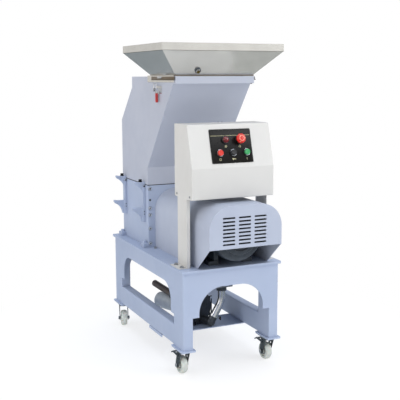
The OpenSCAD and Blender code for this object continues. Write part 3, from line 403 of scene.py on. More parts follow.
# %% Softened edges
WELD_GAP, SHARP_ANGLE, EDGE_SEGMENTS = 0.00001, math.radians(35), 2
SOFT_EDGES = {"control_box": 1.6, "cutting_chamber": 1.5, "clamp_brackets": 1.5,
              "chamber_feet": 1.2, "table_plate": 1.2, "foot_plates": 1.0,
              "blower_shelf": 0.8, "control_panel": 0.4}
for node_name, width_mm in SOFT_EDGES.items():
    weld = nodes[node_name].modifiers.new("weld", "WELD")
    weld.merge_threshold = WELD_GAP
    edge = nodes[node_name].modifiers.new("edge", "BEVEL")
    edge.width = width_mm * MM
    edge.segments = EDGE_SEGMENTS
    edge.limit_method = "ANGLE"
    edge.angle_limit = SHARP_ANGLE
print("softened nodes:", len(SOFT_EDGES))

# %% [markdown]
# The small fittings are turned or forged parts, so they are modelled upright in
# millimetres at the origin and then carried to their place by one matrix. Many
# like fittings share one mesh. A lathe helper spins a profile of radii and
# heights for one full turn, welds the seam and the pole, and so gives rings,
# washers and caps.

# %% Tools for turned fittings
UPRIGHT = (0, 0, 1)
SEAM_GAP, WASHER_EDGE = 0.0001, 0.4


def stand(place_mm, axis=UPRIGHT, roll=0.0):
    """Carries an upright shape in mm to a place, with its +Z along axis."""
    turned = Vector(axis).to_track_quat("Z", "Y").to_matrix().to_4x4()
    return (Matrix.Translation(Vector(place_mm) * MM) @ turned
            @ Matrix.Rotation(math.radians(roll), 4, "Z") @ Matrix.Scale(MM, 4))


def lathe(mesh, profile, carry, steps=40):
    """Spins a profile of (radius, height) points once round the upright axis."""
    points = [mesh.verts.new((radius, 0, height)) for radius, height in profile]
    lines = [mesh.edges.new(pair) for pair in zip(points, points[1:])]
    before = set(mesh.verts) - set(points)
    bmesh.ops.spin(mesh, geom=points + lines, cent=(0, 0, 0), axis=UPRIGHT,
                   angle=2 * math.pi, steps=steps, use_merge=True)
    made = [v for v in mesh.verts if v not in before]
    bmesh.ops.remove_doubles(mesh, verts=made, dist=SEAM_GAP)
    made = [v for v in mesh.verts if v not in before]
    bmesh.ops.transform(mesh, matrix=carry, verts=made)


def washer(mesh, carry, radius, height):
    """A flat disc with a broken upper edge."""
    lathe(mesh, [(0, 0), (radius, 0), (radius, height - WASHER_EDGE),
                 (radius - WASHER_EDGE, height), (0, height)], carry)


print("broken edge of a washer in mm:", WASHER_EDGE)

# %% [markdown]
# Pressed and forged fittings start from a cube or a six-sided cone instead. A
# bevel takes off their sharp edges, all of them on a block and only the top ones
# on a hexagon, as on a real nut.

# %% Tools for blocks and hexagons
HEX_WIDTH_PER_RADIUS, NUT_EDGE = 1.732, 0.9


def rounded(mesh, made, rims, width, overlap_guard):
    """Bevels the edges in rims and returns all vertices of the shape."""
    out = bmesh.ops.bevel(mesh, geom=rims, offset=width, offset_type="OFFSET", segments=2,
                          profile=0.5, affect="EDGES", material=-1,
                          clamp_overlap=overlap_guard)
    return list({v for f in out["faces"] for v in f.verts} | {v for v in made if v.is_valid})


def block(mesh, size, carry, width):
    """A box in mm, centred on the origin, with beveled edges."""
    made = bmesh.ops.create_cube(mesh, size=1.0)["verts"]
    bmesh.ops.scale(mesh, vec=size, verts=made)
    rims = list(dict.fromkeys(e for v in made for e in v.link_edges))
    bmesh.ops.transform(mesh, matrix=carry, verts=rounded(mesh, made, rims, width, True))


def hex_head(mesh, carry, across, height):
    """A hexagon head or nut in mm, with its top edges beveled."""
    radius = across / HEX_WIDTH_PER_RADIUS
    made = bmesh.ops.create_cone(mesh, cap_ends=True, segments=6, radius1=radius,
                                 radius2=radius, depth=height)["verts"]
    bmesh.ops.translate(mesh, vec=(0, 0, height / 2), verts=made)
    rims = [e for e in dict.fromkeys(e for v in made for e in v.link_edges)
            if all(v.co.z > height / 2 for v in e.verts)]
    bmesh.ops.transform(mesh, matrix=carry, verts=rounded(mesh, made, rims, NUT_EDGE, False))


print("bevel of a nut in mm:", NUT_EDGE)

# %% [markdown]
# A finished mesh becomes an object that sits at the origin, with its place in
# its mesh. Its normals are made to point outwards, its sharp edges are marked so
# that the rest shades smoothly, and it rides on the CAD body that carries it.

# %% Tool for finished pieces
SMOOTH_BELOW = 32.0


def piece(name, mesh, finish, body, smooth_below=SMOOTH_BELOW):
    """Closes a mesh into an object at the origin that rides on a body."""
    bmesh.ops.recalc_face_normals(mesh, faces=mesh.faces)
    data = bpy.data.meshes.new(name)
    mesh.to_mesh(data)
    mesh.free()
    data.shade_smooth()
    data.set_sharp_from_angle(angle=math.radians(smooth_below))
    data.materials.append(finish)
    made = bpy.data.objects.new(name, data)
    scene.collection.objects.link(made)
    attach(made, body)
    print(name, "faces:", len(data.polygons))


print("edges stay smooth below degrees:", SMOOTH_BELOW)

# %% [markdown]
# The places below repeat the numbers of the CAD source, in millimetres, so that
# every fitting sits on the sheet that carries it. The fronts and rears are
# places along Y, the sides along X, and the rest are heights.

# %% Places on the machine
TABLE = 446.0
CHAMBER_FRONT, CHAMBER_REAR, CHAMBER_SIDE, CHAMBER_TOP = 103.0, 439.0, 178.0, 729.0
MOUTH_FRONT, MOUTH_REAR, NECK_TOP = -220.0, 52.0, 1217.0
BOX_SIDE, BOX_FRONT, BOX_REAR, BOX_TOP = 182.5, -389.0, -218.0, 1023.0
SLOPE_FOOT, SLOPE_DEPTH, PANEL_FACE = 852.0, 48.0, 2.0
BUTTON_ROW, LAMP_ROW = 59.5, 112.5
BUTTON_PLACES = {"stop": -54.5, "reverse": 5.0, "start": 64.5}
LAMP_PLACE, MUSHROOM_PLACE = -24.0, 38.0
slope_angle = math.atan2(BOX_TOP - SLOPE_FOOT, SLOPE_DEPTH)
slope_space = (Matrix.Translation(Vector((0, BOX_FRONT, SLOPE_FOOT)) * MM)
               @ Matrix.Rotation(slope_angle, 4, "X") @ Matrix.Scale(MM, 4))


def on_slope(across, up, out):
    """Carries an upright shape in mm to the sloping front of the control box."""
    return slope_space @ Matrix.Translation((across, up, out))


print("slope angle in degrees:", round(math.degrees(slope_angle), 1))

# %% [markdown]
# Columns of socket screws hold the side plates to the chamber's front and rear
# plates. Each screw is a bright head, a ring that is spun once round; a black disc
# under it paints the shade in its socket and round its head. One smaller, plain
# hole lies between the screws, and a smaller black disc paints the shade in it.
# A disc is given by its radius and height.

# %% Chamber screws
SCREW_X, SCREW_HEIGHTS, HOLE_HEIGHT = 168, (713, 625, 594, 532, 463), 662
SCREW_SHADE_DISC, HOLE_SHADE_DISC = (8.4, 0.5), (5.0, 0.35)
SCREW_RING = [(3.2, 0.4), (7.2, 0.4), (7.2, 1.8), (6.5, 2.6), (3.9, 2.6), (3.2, 2.0),
              (3.2, 0.4)]
SCREW_COLUMNS = ((-SCREW_X, CHAMBER_FRONT, -1), (-SCREW_X, CHAMBER_REAR, 1),
                 (SCREW_X, CHAMBER_REAR, 1))
rings, sockets = bmesh.new(), bmesh.new()
for x, y, way in SCREW_COLUMNS:
    for z in SCREW_HEIGHTS:
        carry = stand((x, y, z), (0, way, 0))
        # A black disc under each head paints the shade in its socket and round its head.
        washer(sockets, carry, *SCREW_SHADE_DISC)
        lathe(rings, SCREW_RING, carry)
    # A black disc paints the shade inside the plain hole.
    washer(sockets, stand((x, y, HOLE_HEIGHT), (0, way, 0)), *HOLE_SHADE_DISC)
piece("chamber_screw_rings", rings, bright_nickel, "frame")
piece("chamber_screw_painted_shade", sockets, black_plastic, "frame")

# %% [markdown]
# A rubber seal lies in the joint between chamber and hopper, and a brown one
# round the neck of the tray. Each is a thin rectangular frame. A flat grid of one
# face is inset, its middle is deleted, and the rim that is left is extruded to
# the seal's height.

# %% Tool for bands
def frame_band(mesh, low, high, wall):
    """A closed rectangular band in mm from its lowest and highest corners."""
    size = Vector(high) - Vector(low)
    foot = Vector(low) + size / 2
    foot.z = low[2]
    made = bmesh.ops.create_grid(mesh, x_segments=1, y_segments=1, size=0.5)["verts"]
    bmesh.ops.scale(mesh, vec=(size.x, size.y, 1), verts=made)
    sheet = list(made[0].link_faces)
    inner = bmesh.ops.inset_region(mesh, faces=sheet, thickness=wall,
                                   use_boundary=True, use_even_offset=True)
    bmesh.ops.delete(mesh, geom=sheet, context="FACES")
    grown = bmesh.ops.extrude_face_region(mesh, geom=list(inner["faces"]))["geom"]
    raised = [g for g in grown if isinstance(g, bmesh.types.BMVert)]
    bmesh.ops.translate(mesh, vec=(0, 0, size.z), verts=raised)
    bmesh.ops.transform(mesh, matrix=Matrix.Scale(MM, 4) @ Matrix.Translation(foot),
                        verts=mesh.verts)


print("tool: frame_band")

# %% [markdown]
# Both seals stand a little proud of the sheet, as a squeezed gasket does. That is
# why they show as thin dark lines in the picture.

# %% Seals
CHAMBER_SEAL_PROUD, CHAMBER_SEAL_WALL = 0.5, 6
CHAMBER_SEAL_FOOT, CHAMBER_SEAL_TOP = CHAMBER_TOP - 0.6, CHAMBER_TOP + 2.6
TRAY_SEAL_PROUD, TRAY_SEAL_WALL = 1.2, 2.2
TRAY_SEAL_FOOT, TRAY_SEAL_TOP = NECK_TOP - 5.3, NECK_TOP - 0.4

chamber_seal = bmesh.new()
side, proud = CHAMBER_SIDE + CHAMBER_SEAL_PROUD, CHAMBER_SEAL_PROUD
frame_band(chamber_seal, (-side, CHAMBER_FRONT - proud, CHAMBER_SEAL_FOOT),
           (side, CHAMBER_REAR + proud, CHAMBER_SEAL_TOP), CHAMBER_SEAL_WALL)
piece("chamber_seal", chamber_seal, black_rubber, "frame")

tray_seal = bmesh.new()
side, proud = CHAMBER_SIDE + TRAY_SEAL_PROUD, TRAY_SEAL_PROUD
frame_band(tray_seal, (-side, MOUTH_FRONT - proud, TRAY_SEAL_FOOT),
           (side, MOUTH_REAR + proud, TRAY_SEAL_TOP), TRAY_SEAL_WALL)
piece("tray_seal", tray_seal, gasket_rubber, "tray")

# %% [markdown]
# Hexagon bolts hold the posts and the cover to the table, and smaller flat heads
# sit on the sides of the control box. A washer under each hexagon keeps it from
# looking pasted on. Washers and discs are given by radius and height, and heads
# by their width across flats and their height. Two small plugs sit at the rear of
# the box's top.

# %% Screws on table and box
POST_BOLT_X, POST_BOLT_ROWS, POST_FOOT_THICKNESS = 200, (-325, -266), 3
POST_WASHER, POST_HEAD, POST_ROLL = (9.0, 1.6), (12, 6), 20
COVER_BOLTS = ((-157, 71), (-157, -300), (192, 71), (192, -190))
COVER_WASHER, COVER_HEAD, COVER_ROLL = (7.5, 1.5), (10, 5), 12
BOX_SCREW, BOX_SCREW_ROWS, BOX_SCREW_HEIGHT = (4.2, 1.8), (-367, -240), 741
TOP_PLUG, TOP_PLUG_PLACES, TOP_PLUG_INSET = (2.6, 1.6), (12, 29), 6


def table_bolt(mesh, place, washer_size, head_size, roll):
    """A hexagon bolt that stands on its washer."""
    washer(mesh, stand(place), *washer_size)
    on_washer = Vector(place) + Vector((0, 0, washer_size[1]))
    hex_head(mesh, stand(on_washer, roll=roll), *head_size)


plated, plugs = bmesh.new(), bmesh.new()
for way in (-1, 1):
    for y in POST_BOLT_ROWS:
        table_bolt(plated, (way * POST_BOLT_X, y, TABLE + POST_FOOT_THICKNESS),
                   POST_WASHER, POST_HEAD, POST_ROLL)
    for y in BOX_SCREW_ROWS:
        washer(plated, stand((way * BOX_SIDE, y, BOX_SCREW_HEIGHT), (way, 0, 0)), *BOX_SCREW)
for x, y in COVER_BOLTS:
    table_bolt(plated, (x, y, TABLE), COVER_WASHER, COVER_HEAD, COVER_ROLL)
for x in TOP_PLUG_PLACES:
    washer(plugs, stand((x, BOX_REAR - TOP_PLUG_INSET, BOX_TOP)), *TOP_PLUG)
piece("table_and_box_screws", plated, zinc_plate, "frame")
piece("box_top_plugs", plugs, black_plastic, "frame")

# %% [markdown]
# A small black rubber stop is screwed to the right end of the hopper's rim strip,
# where it keeps the tray's hinge from knocking on the paint. A wider foot carries
# a narrow upright, so it is two blocks, each with its size, place and bevel.

# %% Hinge stop
STOP_BLOCKS = (((6, 5, 13), (181, -221, 1203.5), 1.0), ((9.6, 5, 4), (182.8, -221, 1198), 1.0))
hinge_stop = bmesh.new()
for size, place, width in STOP_BLOCKS:
    block(hinge_stop, size, stand(place), width)
piece("hinge_stop", hinge_stop, black_rubber, "frame")

# %% [markdown]
# A black bolt on a bright washer closes each clamp bar at its top, and a smaller
# pair of screws sits lower on the bar. All of them face forwards. The heads are
# spun, because at this size a socket head reads as a plain round button.

# %% Clamp screws
CLAMP_X, CLAMP_ROWS = 184, (135, 383)
CLAMP_BOLT_HEIGHT, CLAMP_SCREW_HEIGHTS = 722, (606, 594)
CLAMP_WASHER = (5.8, 1.6)
CLAMP_BOLT = [(0, 1.6), (3.6, 1.6), (3.6, 4.0), (2.8, 4.8), (0, 4.8)]
CLAMP_SCREW = [(0, 0), (2.2, 0), (2.2, 1.0), (1.6, 1.6), (0, 1.6)]
FORWARDS = (0, -1, 0)
clamp_washers, clamp_heads = bmesh.new(), bmesh.new()
for x in (-CLAMP_X, CLAMP_X):
    for y in CLAMP_ROWS:
        at_bolt = stand((x, y, CLAMP_BOLT_HEIGHT), FORWARDS)
        washer(clamp_washers, at_bolt, *CLAMP_WASHER)
        lathe(clamp_heads, CLAMP_BOLT, at_bolt, steps=24)
        for z in CLAMP_SCREW_HEIGHTS:
            lathe(clamp_heads, CLAMP_SCREW, stand((x, y, z), FORWARDS), steps=16)
piece("clamp_washers", clamp_washers, bright_nickel, "frame")
piece("clamp_screw_heads", clamp_heads, black_steel, "frame")

# %% [markdown]
# A black sheet behind the louvres paints the shade inside the slots, which is why
# they look so dark. It is a thin pad whose surface is drawn as a woven net; two
# crossed sets of threads give the net its relief. A Wave texture repeats 20 times
# in 2 pi units, so its scale is worked out from the width of a thread.

# %% Painted shade behind the louvres
THREAD_MM, WEAVE_DEPTH_MM, WEAVE_ROUGHNESS = 1.6, 0.2, 0.85
WAVES_PER_TURN = 20
SHADE_SHEET_SIZE, SHADE_SHEET_PLACE, SHADE_SHEET_EDGE = (172, 1.6, 140), (20, -462.6, 622), 0.5

louvre_shade_finish, shade_sheet_tree, shade_sheet_place = new_finish("black_weave_painted_louvre_shade")
weave_scale = 2 * math.pi / (THREAD_MM * MM) / WAVES_PER_TURN
threads = [add(shade_sheet_tree, "ShaderNodeTexWave", {"Vector": shade_sheet_place, "Scale": weave_scale},
               bands_direction=direction).outputs["Fac"] for direction in ("X", "Z")]
crossing = add(shade_sheet_tree, "ShaderNodeMath", {0: threads[0], 1: threads[1]},
               operation="MAXIMUM").outputs[0]
close_finish(shade_sheet_tree, {"Base Color": blend_colours(shade_sheet_tree, crossing, "050506", "131416"),
                        "Roughness": WEAVE_ROUGHNESS,
                        "Normal": bumps(shade_sheet_tree, crossing, WEAVE_DEPTH_MM)})
louvre_shade_sheet = bmesh.new()
block(louvre_shade_sheet, SHADE_SHEET_SIZE, stand(SHADE_SHEET_PLACE), SHADE_SHEET_EDGE)
piece("louvre_shade_sheet", louvre_shade_sheet, louvre_shade_finish, "frame")

# %% [markdown]
# The panel carries printed marks. Ink has almost no thickness, so each mark is a
# flat form that stands 0.2 mm proud of the foil. Bars, rings and an arrow are
# enough for all of them. Each is placed by how far it lies across and up the
# slope, in millimetres. The arrow's shaft and tip are shares of its size.

# %% Tools for printed marks
INK, INK_EDGE, RING_STEPS = 0.2, 0.05, 36
SHAFT_SHIFT, SHAFT_LENGTH, SHAFT_WIDTH = 0.35, 0.9, 0.22
TIP_SHIFT, TIP_RADIUS = 0.25, 0.45
panel_print = bmesh.new()


def ink_bar(across, up, width, height, roll=0.0):
    """A printed rectangle on the panel, turned by roll degrees."""
    middle = on_slope(across, up, PANEL_FACE + INK / 2)
    block(panel_print, (width, height, INK),
          middle @ Matrix.Rotation(math.radians(roll), 4, "Z"), INK_EDGE)


def ink_ring(across, up, radius, line):
    """A printed ring on the panel."""
    lathe(panel_print, [(radius - line, 0), (radius, 0), (radius, INK), (radius - line, INK),
                        (radius - line, 0)], on_slope(across, up, PANEL_FACE), RING_STEPS)


def ink_arrow(across, up, size):
    """A printed arrow that points to the left: a shaft and a three-sided tip."""
    ink_bar(across + size * SHAFT_SHIFT, up, size * SHAFT_LENGTH, size * SHAFT_WIDTH)
    radius = size * TIP_RADIUS
    made = bmesh.ops.create_cone(panel_print, cap_ends=True, segments=3, radius1=radius,
                                 radius2=radius, depth=INK)["verts"]
    bmesh.ops.transform(panel_print, verts=made,
                        matrix=on_slope(across - size * TIP_SHIFT, up, PANEL_FACE + INK / 2)
                        @ Matrix.Rotation(math.pi, 4, "Z"))


print("ink in mm:", INK)

# %% [markdown]
# A rule runs near the panel's top. Plain marks stand below the switches: a ring
# for stop, an arrow for reverse, a bar for start, a crossed ring for the lamp and
# a barred ring for the emergency stop.

# %% Panel print
MARK_ROW, LAMP_MARK_ROW, MUSHROOM_MARK_ROW = 34, 86, 84
MARK_RADIUS, BOLD_LINE, FINE_LINE, ARROW_SIZE = 5.0, 1.3, 1.0, 12
RULE_PLACE, RULE_SIZE = (-0.5, 129.5), (175, 1.3)
START_BAR, CROSS_BAR, STOP_BAR = (1.6, 10), (8.4, 0.9), (5.4, 1.4)
ink_bar(*RULE_PLACE, *RULE_SIZE)
ink_ring(BUTTON_PLACES["stop"], MARK_ROW, MARK_RADIUS, BOLD_LINE)
ink_arrow(BUTTON_PLACES["reverse"], MARK_ROW, ARROW_SIZE)
ink_bar(BUTTON_PLACES["start"], MARK_ROW, *START_BAR)
ink_ring(LAMP_PLACE, LAMP_MARK_ROW, MARK_RADIUS, FINE_LINE)
for roll in (45, -45):
    ink_bar(LAMP_PLACE, LAMP_MARK_ROW, *CROSS_BAR, roll)
ink_ring(MUSHROOM_PLACE, MUSHROOM_MARK_ROW, MARK_RADIUS, FINE_LINE)
ink_bar(MUSHROOM_PLACE, MUSHROOM_MARK_ROW, *STOP_BAR)
piece("panel_print", panel_print, rule_ink, "frame")

# %% [markdown]
# The lamp has a black bezel and a domed lens, whose small mirror image of the
# lights makes it sparkle. Both are spun profiles. The bezel covers the chromed
# ring of the CAD, and the dome stands on the lens.

# %% Lamp
DIAL_STEPS, DOME_SMOOTH_BELOW = 48, 60
LAMP_BEZEL = [(13.2, 8.1), (15.2, 8.1), (15.2, 2.0), (16.0, 2.0), (16.0, 7.6), (14.9, 9.2),
              (13.6, 9.2), (13.2, 8.1)]
LAMP_DOME = [(13.0, 8.1), (13.0, 9.6), (12.0, 12.4), (9.6, 14.8), (6.2, 16.4), (3.0, 17.1),
             (0, 17.3)]
lamp_ring, lamp_dome = bmesh.new(), bmesh.new()
lathe(lamp_ring, LAMP_BEZEL, on_slope(LAMP_PLACE, LAMP_ROW, 0), DIAL_STEPS)
lathe(lamp_dome, LAMP_DOME, on_slope(LAMP_PLACE, LAMP_ROW, 0), DIAL_STEPS)
piece("lamp_bezel_cover", lamp_ring, black_plastic, "frame")
piece("lamp_lens_dome", lamp_dome, lamp_plastic, "frame", DOME_SMOOTH_BELOW)

# %% [markdown]
# A push button's cap ends in a raised lip inside its chromed bezel. The lip is a
# spun profile too, and it rides on the moving cap, so it sinks with it.

# %% Button caps
CAP_TOP = 11.5
CAP_FACE = [(0, -0.8), (10.6, -0.8), (10.6, 0.15), (11.6, 0.15), (12.0, 0.7), (11.8, 1.4),
            (11.0, 1.9), (10.2, 1.7), (9.6, 1.2), (0, 1.0)]
for key, finish, slot in (("stop", stop_plastic, "red_button"),
                          ("reverse", black_plastic, "black_button"),
                          ("start", start_plastic, "green_button")):
    cap = bmesh.new()
    lathe(cap, CAP_FACE, on_slope(BUTTON_PLACES[key], BUTTON_ROW, CAP_TOP), DIAL_STEPS)
    piece(key + "_cap_face", cap, finish, key + "_cap")

# %% [markdown]
# The mushroom head of the emergency stop has a lighter ring moulded into its face
# and three small triangles round it, which show that a twist sets it free. Its
# height is what the CAD stacks up: the panel, the travel, a gap, the neck and the
# head.

# %% Emergency stop
MUSHROOM_TRAVEL, MUSHROOM_GAP, MUSHROOM_NECK, MUSHROOM_HEAD = 4.0, 0.5, 9.5, 14.0
HEAD_RING = [(8.2, -2.4), (12.2, -2.4), (12.2, -0.7), (11.6, -0.2), (9.0, 0.6), (8.2, 0.3),
             (8.2, -2.4)]
ARROWS, ARROW_REACH, ARROW_DROP = 3, 15.0, -2.6
ARROW_FOOT, ARROW_TOP, ARROW_HEIGHT = 2.6, 2.2, 1.2
on_head = on_slope(MUSHROOM_PLACE, LAMP_ROW, PANEL_FACE + MUSHROOM_TRAVEL + MUSHROOM_GAP
                   + MUSHROOM_NECK + MUSHROOM_HEAD)
head_ring, arrows = bmesh.new(), bmesh.new()
lathe(head_ring, HEAD_RING, on_head, DIAL_STEPS)
for i in range(ARROWS):
    made = bmesh.ops.create_cone(arrows, cap_ends=True, segments=3, radius1=ARROW_FOOT,
                                 radius2=ARROW_TOP, depth=ARROW_HEIGHT)["verts"]
    bmesh.ops.transform(arrows, verts=made, matrix=on_head
                        @ Matrix.Rotation(2 * math.pi / ARROWS * i, 4, "Z")
                        @ Matrix.Translation((ARROW_REACH, 0, ARROW_DROP))
                        @ Matrix.Rotation(math.pi / 2, 4, "Z"))
piece("mushroom_ring", head_ring, mushroom_light, "mushroom")
piece("mushroom_arrows", arrows, rule_ink, "mushroom")

# %% [markdown]
# The catch flange of the tray carries a folded catch strip, over which the wire
# loop is thrown, and a small hook pressed out of it. The strip is a block with a
# lip, and its warm tone is that of bronzed spring steel. Each block is given by
# its size, its place and its bevel.

# %% Catch strip
STRIP_BLOCKS = (((1.6, 250, 13), (-182.4, -95, 1204), 0.5),
                ((4.0, 250, 2.4), (-183.4, -95, 1196.5), 0.8))
HOOK_BLOCKS = (((5.0, 46, 9), (-184.0, -66, 1206.5), 1.5),
               ((3.0, 30, 5), (-180.6, -118, 1219.5), 1.2))
for name, blocks, finish in (("catch_strip", STRIP_BLOCKS, bronze_steel),
                             ("catch_hook", HOOK_BLOCKS, chrome_plate)):
    pressed = bmesh.new()
    for size, place, width in blocks:
        block(pressed, size, stand(place), width)
    piece(name, pressed, finish, "tray")

# %% [markdown]
# The tray's rim is a folded box section. Where it meets the slope, a thin dark band
# just inside the rim's lower edge paints the shade in the fold.

# %% Painted shade at the rim's fold
RIM_FOOT, RIM_SIDE, RIM_FRONT, RIM_REAR = 1312.0, 270.0, -312.0, 144.0
FOLD_SHADE_INSET, FOLD_SHADE_DROP, FOLD_SHADE_RISE, FOLD_SHADE_WALL = 0.2, 1.6, 0.2, 2.4
rim_fold_shade = bmesh.new()
frame_band(rim_fold_shade,
           (-RIM_SIDE + FOLD_SHADE_INSET, RIM_FRONT + FOLD_SHADE_INSET, RIM_FOOT - FOLD_SHADE_DROP),
           (RIM_SIDE - FOLD_SHADE_INSET, RIM_REAR - FOLD_SHADE_INSET, RIM_FOOT + FOLD_SHADE_RISE), FOLD_SHADE_WALL)
piece("rim_fold_shade", rim_fold_shade, fold_shade_paint, "tray")

# %% [markdown]
# The drain plug on the tray's front slope is a turned bronze disc in a black
# ring. Its matrix repeats the CAD's: it stands square on the slope, a little in
# front of the neck.

# %% Drain plug
PLUG_X, PLUG_OUT = -87, 18
PLUG_RING = [(9.6, 0), (12.8, 0), (12.8, 5.6), (12.0, 6.6), (10.2, 6.6), (9.6, 6.0), (9.6, 0)]
PLUG_DISC = [(0, 11.0), (6.4, 11.0), (7.4, 11.2), (7.4, 12.0), (6.6, 12.6), (4.2, 12.2),
             (2.0, 11.9), (0, 11.9)]
tray_slope = math.atan2(RIM_FOOT - NECK_TOP, MOUTH_FRONT - RIM_FRONT)
plug_place = Vector((PLUG_X, MOUTH_FRONT - PLUG_OUT, NECK_TOP + PLUG_OUT * math.tan(tray_slope)))
on_tray_slope = (Matrix.Translation(plug_place * MM)
                 @ Matrix.Rotation(math.pi - tray_slope, 4, "X") @ Matrix.Scale(MM, 4))
plug_ring, plug_disc = bmesh.new(), bmesh.new()
lathe(plug_ring, PLUG_RING, on_tray_slope, DIAL_STEPS)
lathe(plug_disc, PLUG_DISC, on_tray_slope)
piece("drain_plug_ring", plug_ring, motor_paint, "tray")
piece("drain_plug_disc", plug_disc, plug_bronze, "tray")

# %% [markdown]
# Under the table stands the blower, whose housing is turned by 20 degrees, so its
# fittings are placed in its own turned space. A ring of small screws closes the
# housing. The scroll grows as it winds, so each screw has its own radius and
# angle.

# %% Housing screws
BLOWER_PLACE, BLOWER_TURN = (-24, -60, 180), 20
SCROLL_SCREWS = ((55, 215), (60, 250), (64, 290), (70, 330), (75, 5), (80, 45), (84, 80))
SCREW_REACH, HOUSING_FACE = 0.94, -26
HOUSING_SCREW = [(0, 0), (3.4, 0), (3.4, 1.8), (2.6, 2.8), (0, 2.8)]
blower_space = (Matrix.Translation(Vector(BLOWER_PLACE) * MM)
                @ Matrix.Rotation(math.radians(BLOWER_TURN), 4, "Z") @ Matrix.Scale(MM, 4))
blower_screws = bmesh.new()
for radius, angle in SCROLL_SCREWS:
    x = radius * SCREW_REACH * math.cos(math.radians(angle))
    z = radius * SCREW_REACH * math.sin(math.radians(angle))
    at_screw = blower_space @ Matrix.Translation((x, HOUSING_FACE, z))
    lathe(blower_screws, HOUSING_SCREW, at_screw @ Matrix.Rotation(math.pi / 2, 4, "X"), steps=20)
piece("housing_screws", blower_screws, zinc_plate, "frame")

# %% [markdown]
# A guard of upright bars stands before the housing and follows its round outline,
# so each bar is as long as the circle lets it be, but never shorter than a stub.
# Three flat cross bars hold them.

# %% Blower guard
BAR_PLACES, BAR_SECTION, BAR_OUT, BAR_MIDDLE = range(-56, 84, 11), (4.2, 5.0), -29.5, 8
BAR_EDGE, CROSS_EDGE = 1.2, 1.0
GUARD_RADIUS, SHORTEST_REACH, BAR_SHARE = 88.0, 30.0, 1.5
CROSS_HEIGHTS, CROSS_SIZE, CROSS_X, CROSS_OUT = (-34, 8, 52), (140, 3.0, 5.0), 10, -27.5
guard = bmesh.new()
for x in BAR_PLACES:
    reach = math.sqrt(max(GUARD_RADIUS ** 2 - x * x, SHORTEST_REACH ** 2))
    block(guard, (*BAR_SECTION, BAR_SHARE * reach),
          blower_space @ Matrix.Translation((x, BAR_OUT, BAR_MIDDLE)), BAR_EDGE)
for z in CROSS_HEIGHTS:
    block(guard, CROSS_SIZE, blower_space @ Matrix.Translation((CROSS_X, CROSS_OUT, z)),
          CROSS_EDGE)
piece("blower_guard", guard, guard_steel, "frame")

# %% [markdown]
# A wing nut draws the clamp band on the suction pipe tight. It is a spun hub with
# a flat wing on either side.

# %% Wing nut
WING_PLACE, WING_AXIS, WING_ROLL = (62, -134, 150), (0.85, -0.2, -0.5), 30
WING_HUB = [(0, 0), (5, 0), (4, 7), (0, 7)]
WING_SIZE, WING_OUT, WING_RISE, WING_EDGE = (9, 2.6, 7), 7, 6, 1.0
wing_nut = bmesh.new()
lathe(wing_nut, WING_HUB, stand(WING_PLACE, WING_AXIS), steps=24)
for way in (-1, 1):
    block(wing_nut, WING_SIZE, stand(WING_PLACE, WING_AXIS, WING_ROLL)
          @ Matrix.Translation((way * WING_OUT, 0, WING_RISE)), WING_EDGE)
piece("wing_nut", wing_nut, black_steel, "frame")

# %% [markdown]
# A bright nut and washer hold each caster's axle, and a grey bearing cap closes
# each wheel's hub. The nuts ride on the fork and the caps on the wheel, so they
# swivel and roll as the real ones do. The axle trails behind the swivel, and the
# rear casters stand turned by 165 degrees.

# %% Caster fittings
CASTER_X, CASTER_FRONT, CASTER_REAR, REAR_TURN = 197.5, -330.5, 410.5, 165
TRAIL, WHEEL_RADIUS, FORK_FACE = 20.0, 37.5, 21.0
AXLE_NUT = [(5.2, FORK_FACE + 4.6), (8.6, FORK_FACE + 4.6), (8.6, FORK_FACE + 5.4),
            (6.0, FORK_FACE + 6.6), (0, FORK_FACE + 6.6)]
HUB_RING = [(12.3, 9.2), (16.5, 9.2), (16.5, 10.4), (15.8, 11.0), (13.0, 11.0), (12.3, 10.4),
            (12.3, 9.2)]
for tag, x, y, turned in (("fl", -CASTER_X, CASTER_FRONT, 0),
                          ("fr", CASTER_X, CASTER_FRONT, 0),
                          ("rl", -CASTER_X, CASTER_REAR, REAR_TURN),
                          ("rr", CASTER_X, CASTER_REAR, REAR_TURN)):
    axle = (Matrix.Translation(Vector((x, y, 0)) * MM)
            @ Matrix.Rotation(math.radians(turned), 4, "Z") @ Matrix.Scale(MM, 4)
            @ Matrix.Translation((0, TRAIL, WHEEL_RADIUS)))
    nuts, hubs = bmesh.new(), bmesh.new()
    for way in (-1, 1):
        outwards = axle @ Matrix.Rotation(way * math.pi / 2, 4, "Y")
        lathe(nuts, AXLE_NUT, outwards, steps=32)
        lathe(hubs, HUB_RING, outwards)
    piece("axle_nuts_" + tag, nuts, bright_nickel, "caster_" + tag)
    piece("hub_rings_" + tag, hubs, zinc_plate, "wheel_" + tag)

# %% [markdown]
# Four large soft lights stand round the machine. The key stands high on the
# right, outside the mirror direction of the sloping panel and of the tray's rim,
# so neither burns out. A high front light whitens the top of the control box, which
# the tray mirrors. A warm fill on the left keeps the side walls readable, and a
# cool top light gives the table and the shelf their blue. Each light is given by
# its place and width in metres, its power in watts and its colour.

# %% Lights
LIGHTS = (("key_right", (3.1, -2.9, 3.0), 2.2, 67, "FFFFFF"),
          ("front_high", (0.4, -3.0, 3.6), 1.6, 22, "FFFDF8"),
          ("fill_left", (-3.4, -1.0, 1.8), 2.6, 35, "FFF6EA"),
          ("top", (0.0, 0.2, 3.6), 2.4, 52, "EAF1FF"))
MACHINE_MIDDLE = Vector((0, 0, 0.7))
for name, place, width, power, colour in LIGHTS:
    softbox = bpy.data.lights.new(name, "AREA")
    softbox.size = width
    softbox.energy = power
    softbox.color = linear(colour)[:3]
    light = bpy.data.objects.new(name, softbox)
    looking = (MACHINE_MIDDLE - Vector(place)).to_track_quat("-Z", "Y")
    light.matrix_world = Matrix.Translation(place) @ looking.to_matrix().to_4x4()
    scene.collection.objects.link(light)
print("lights:", [name for name, *_ in LIGHTS])
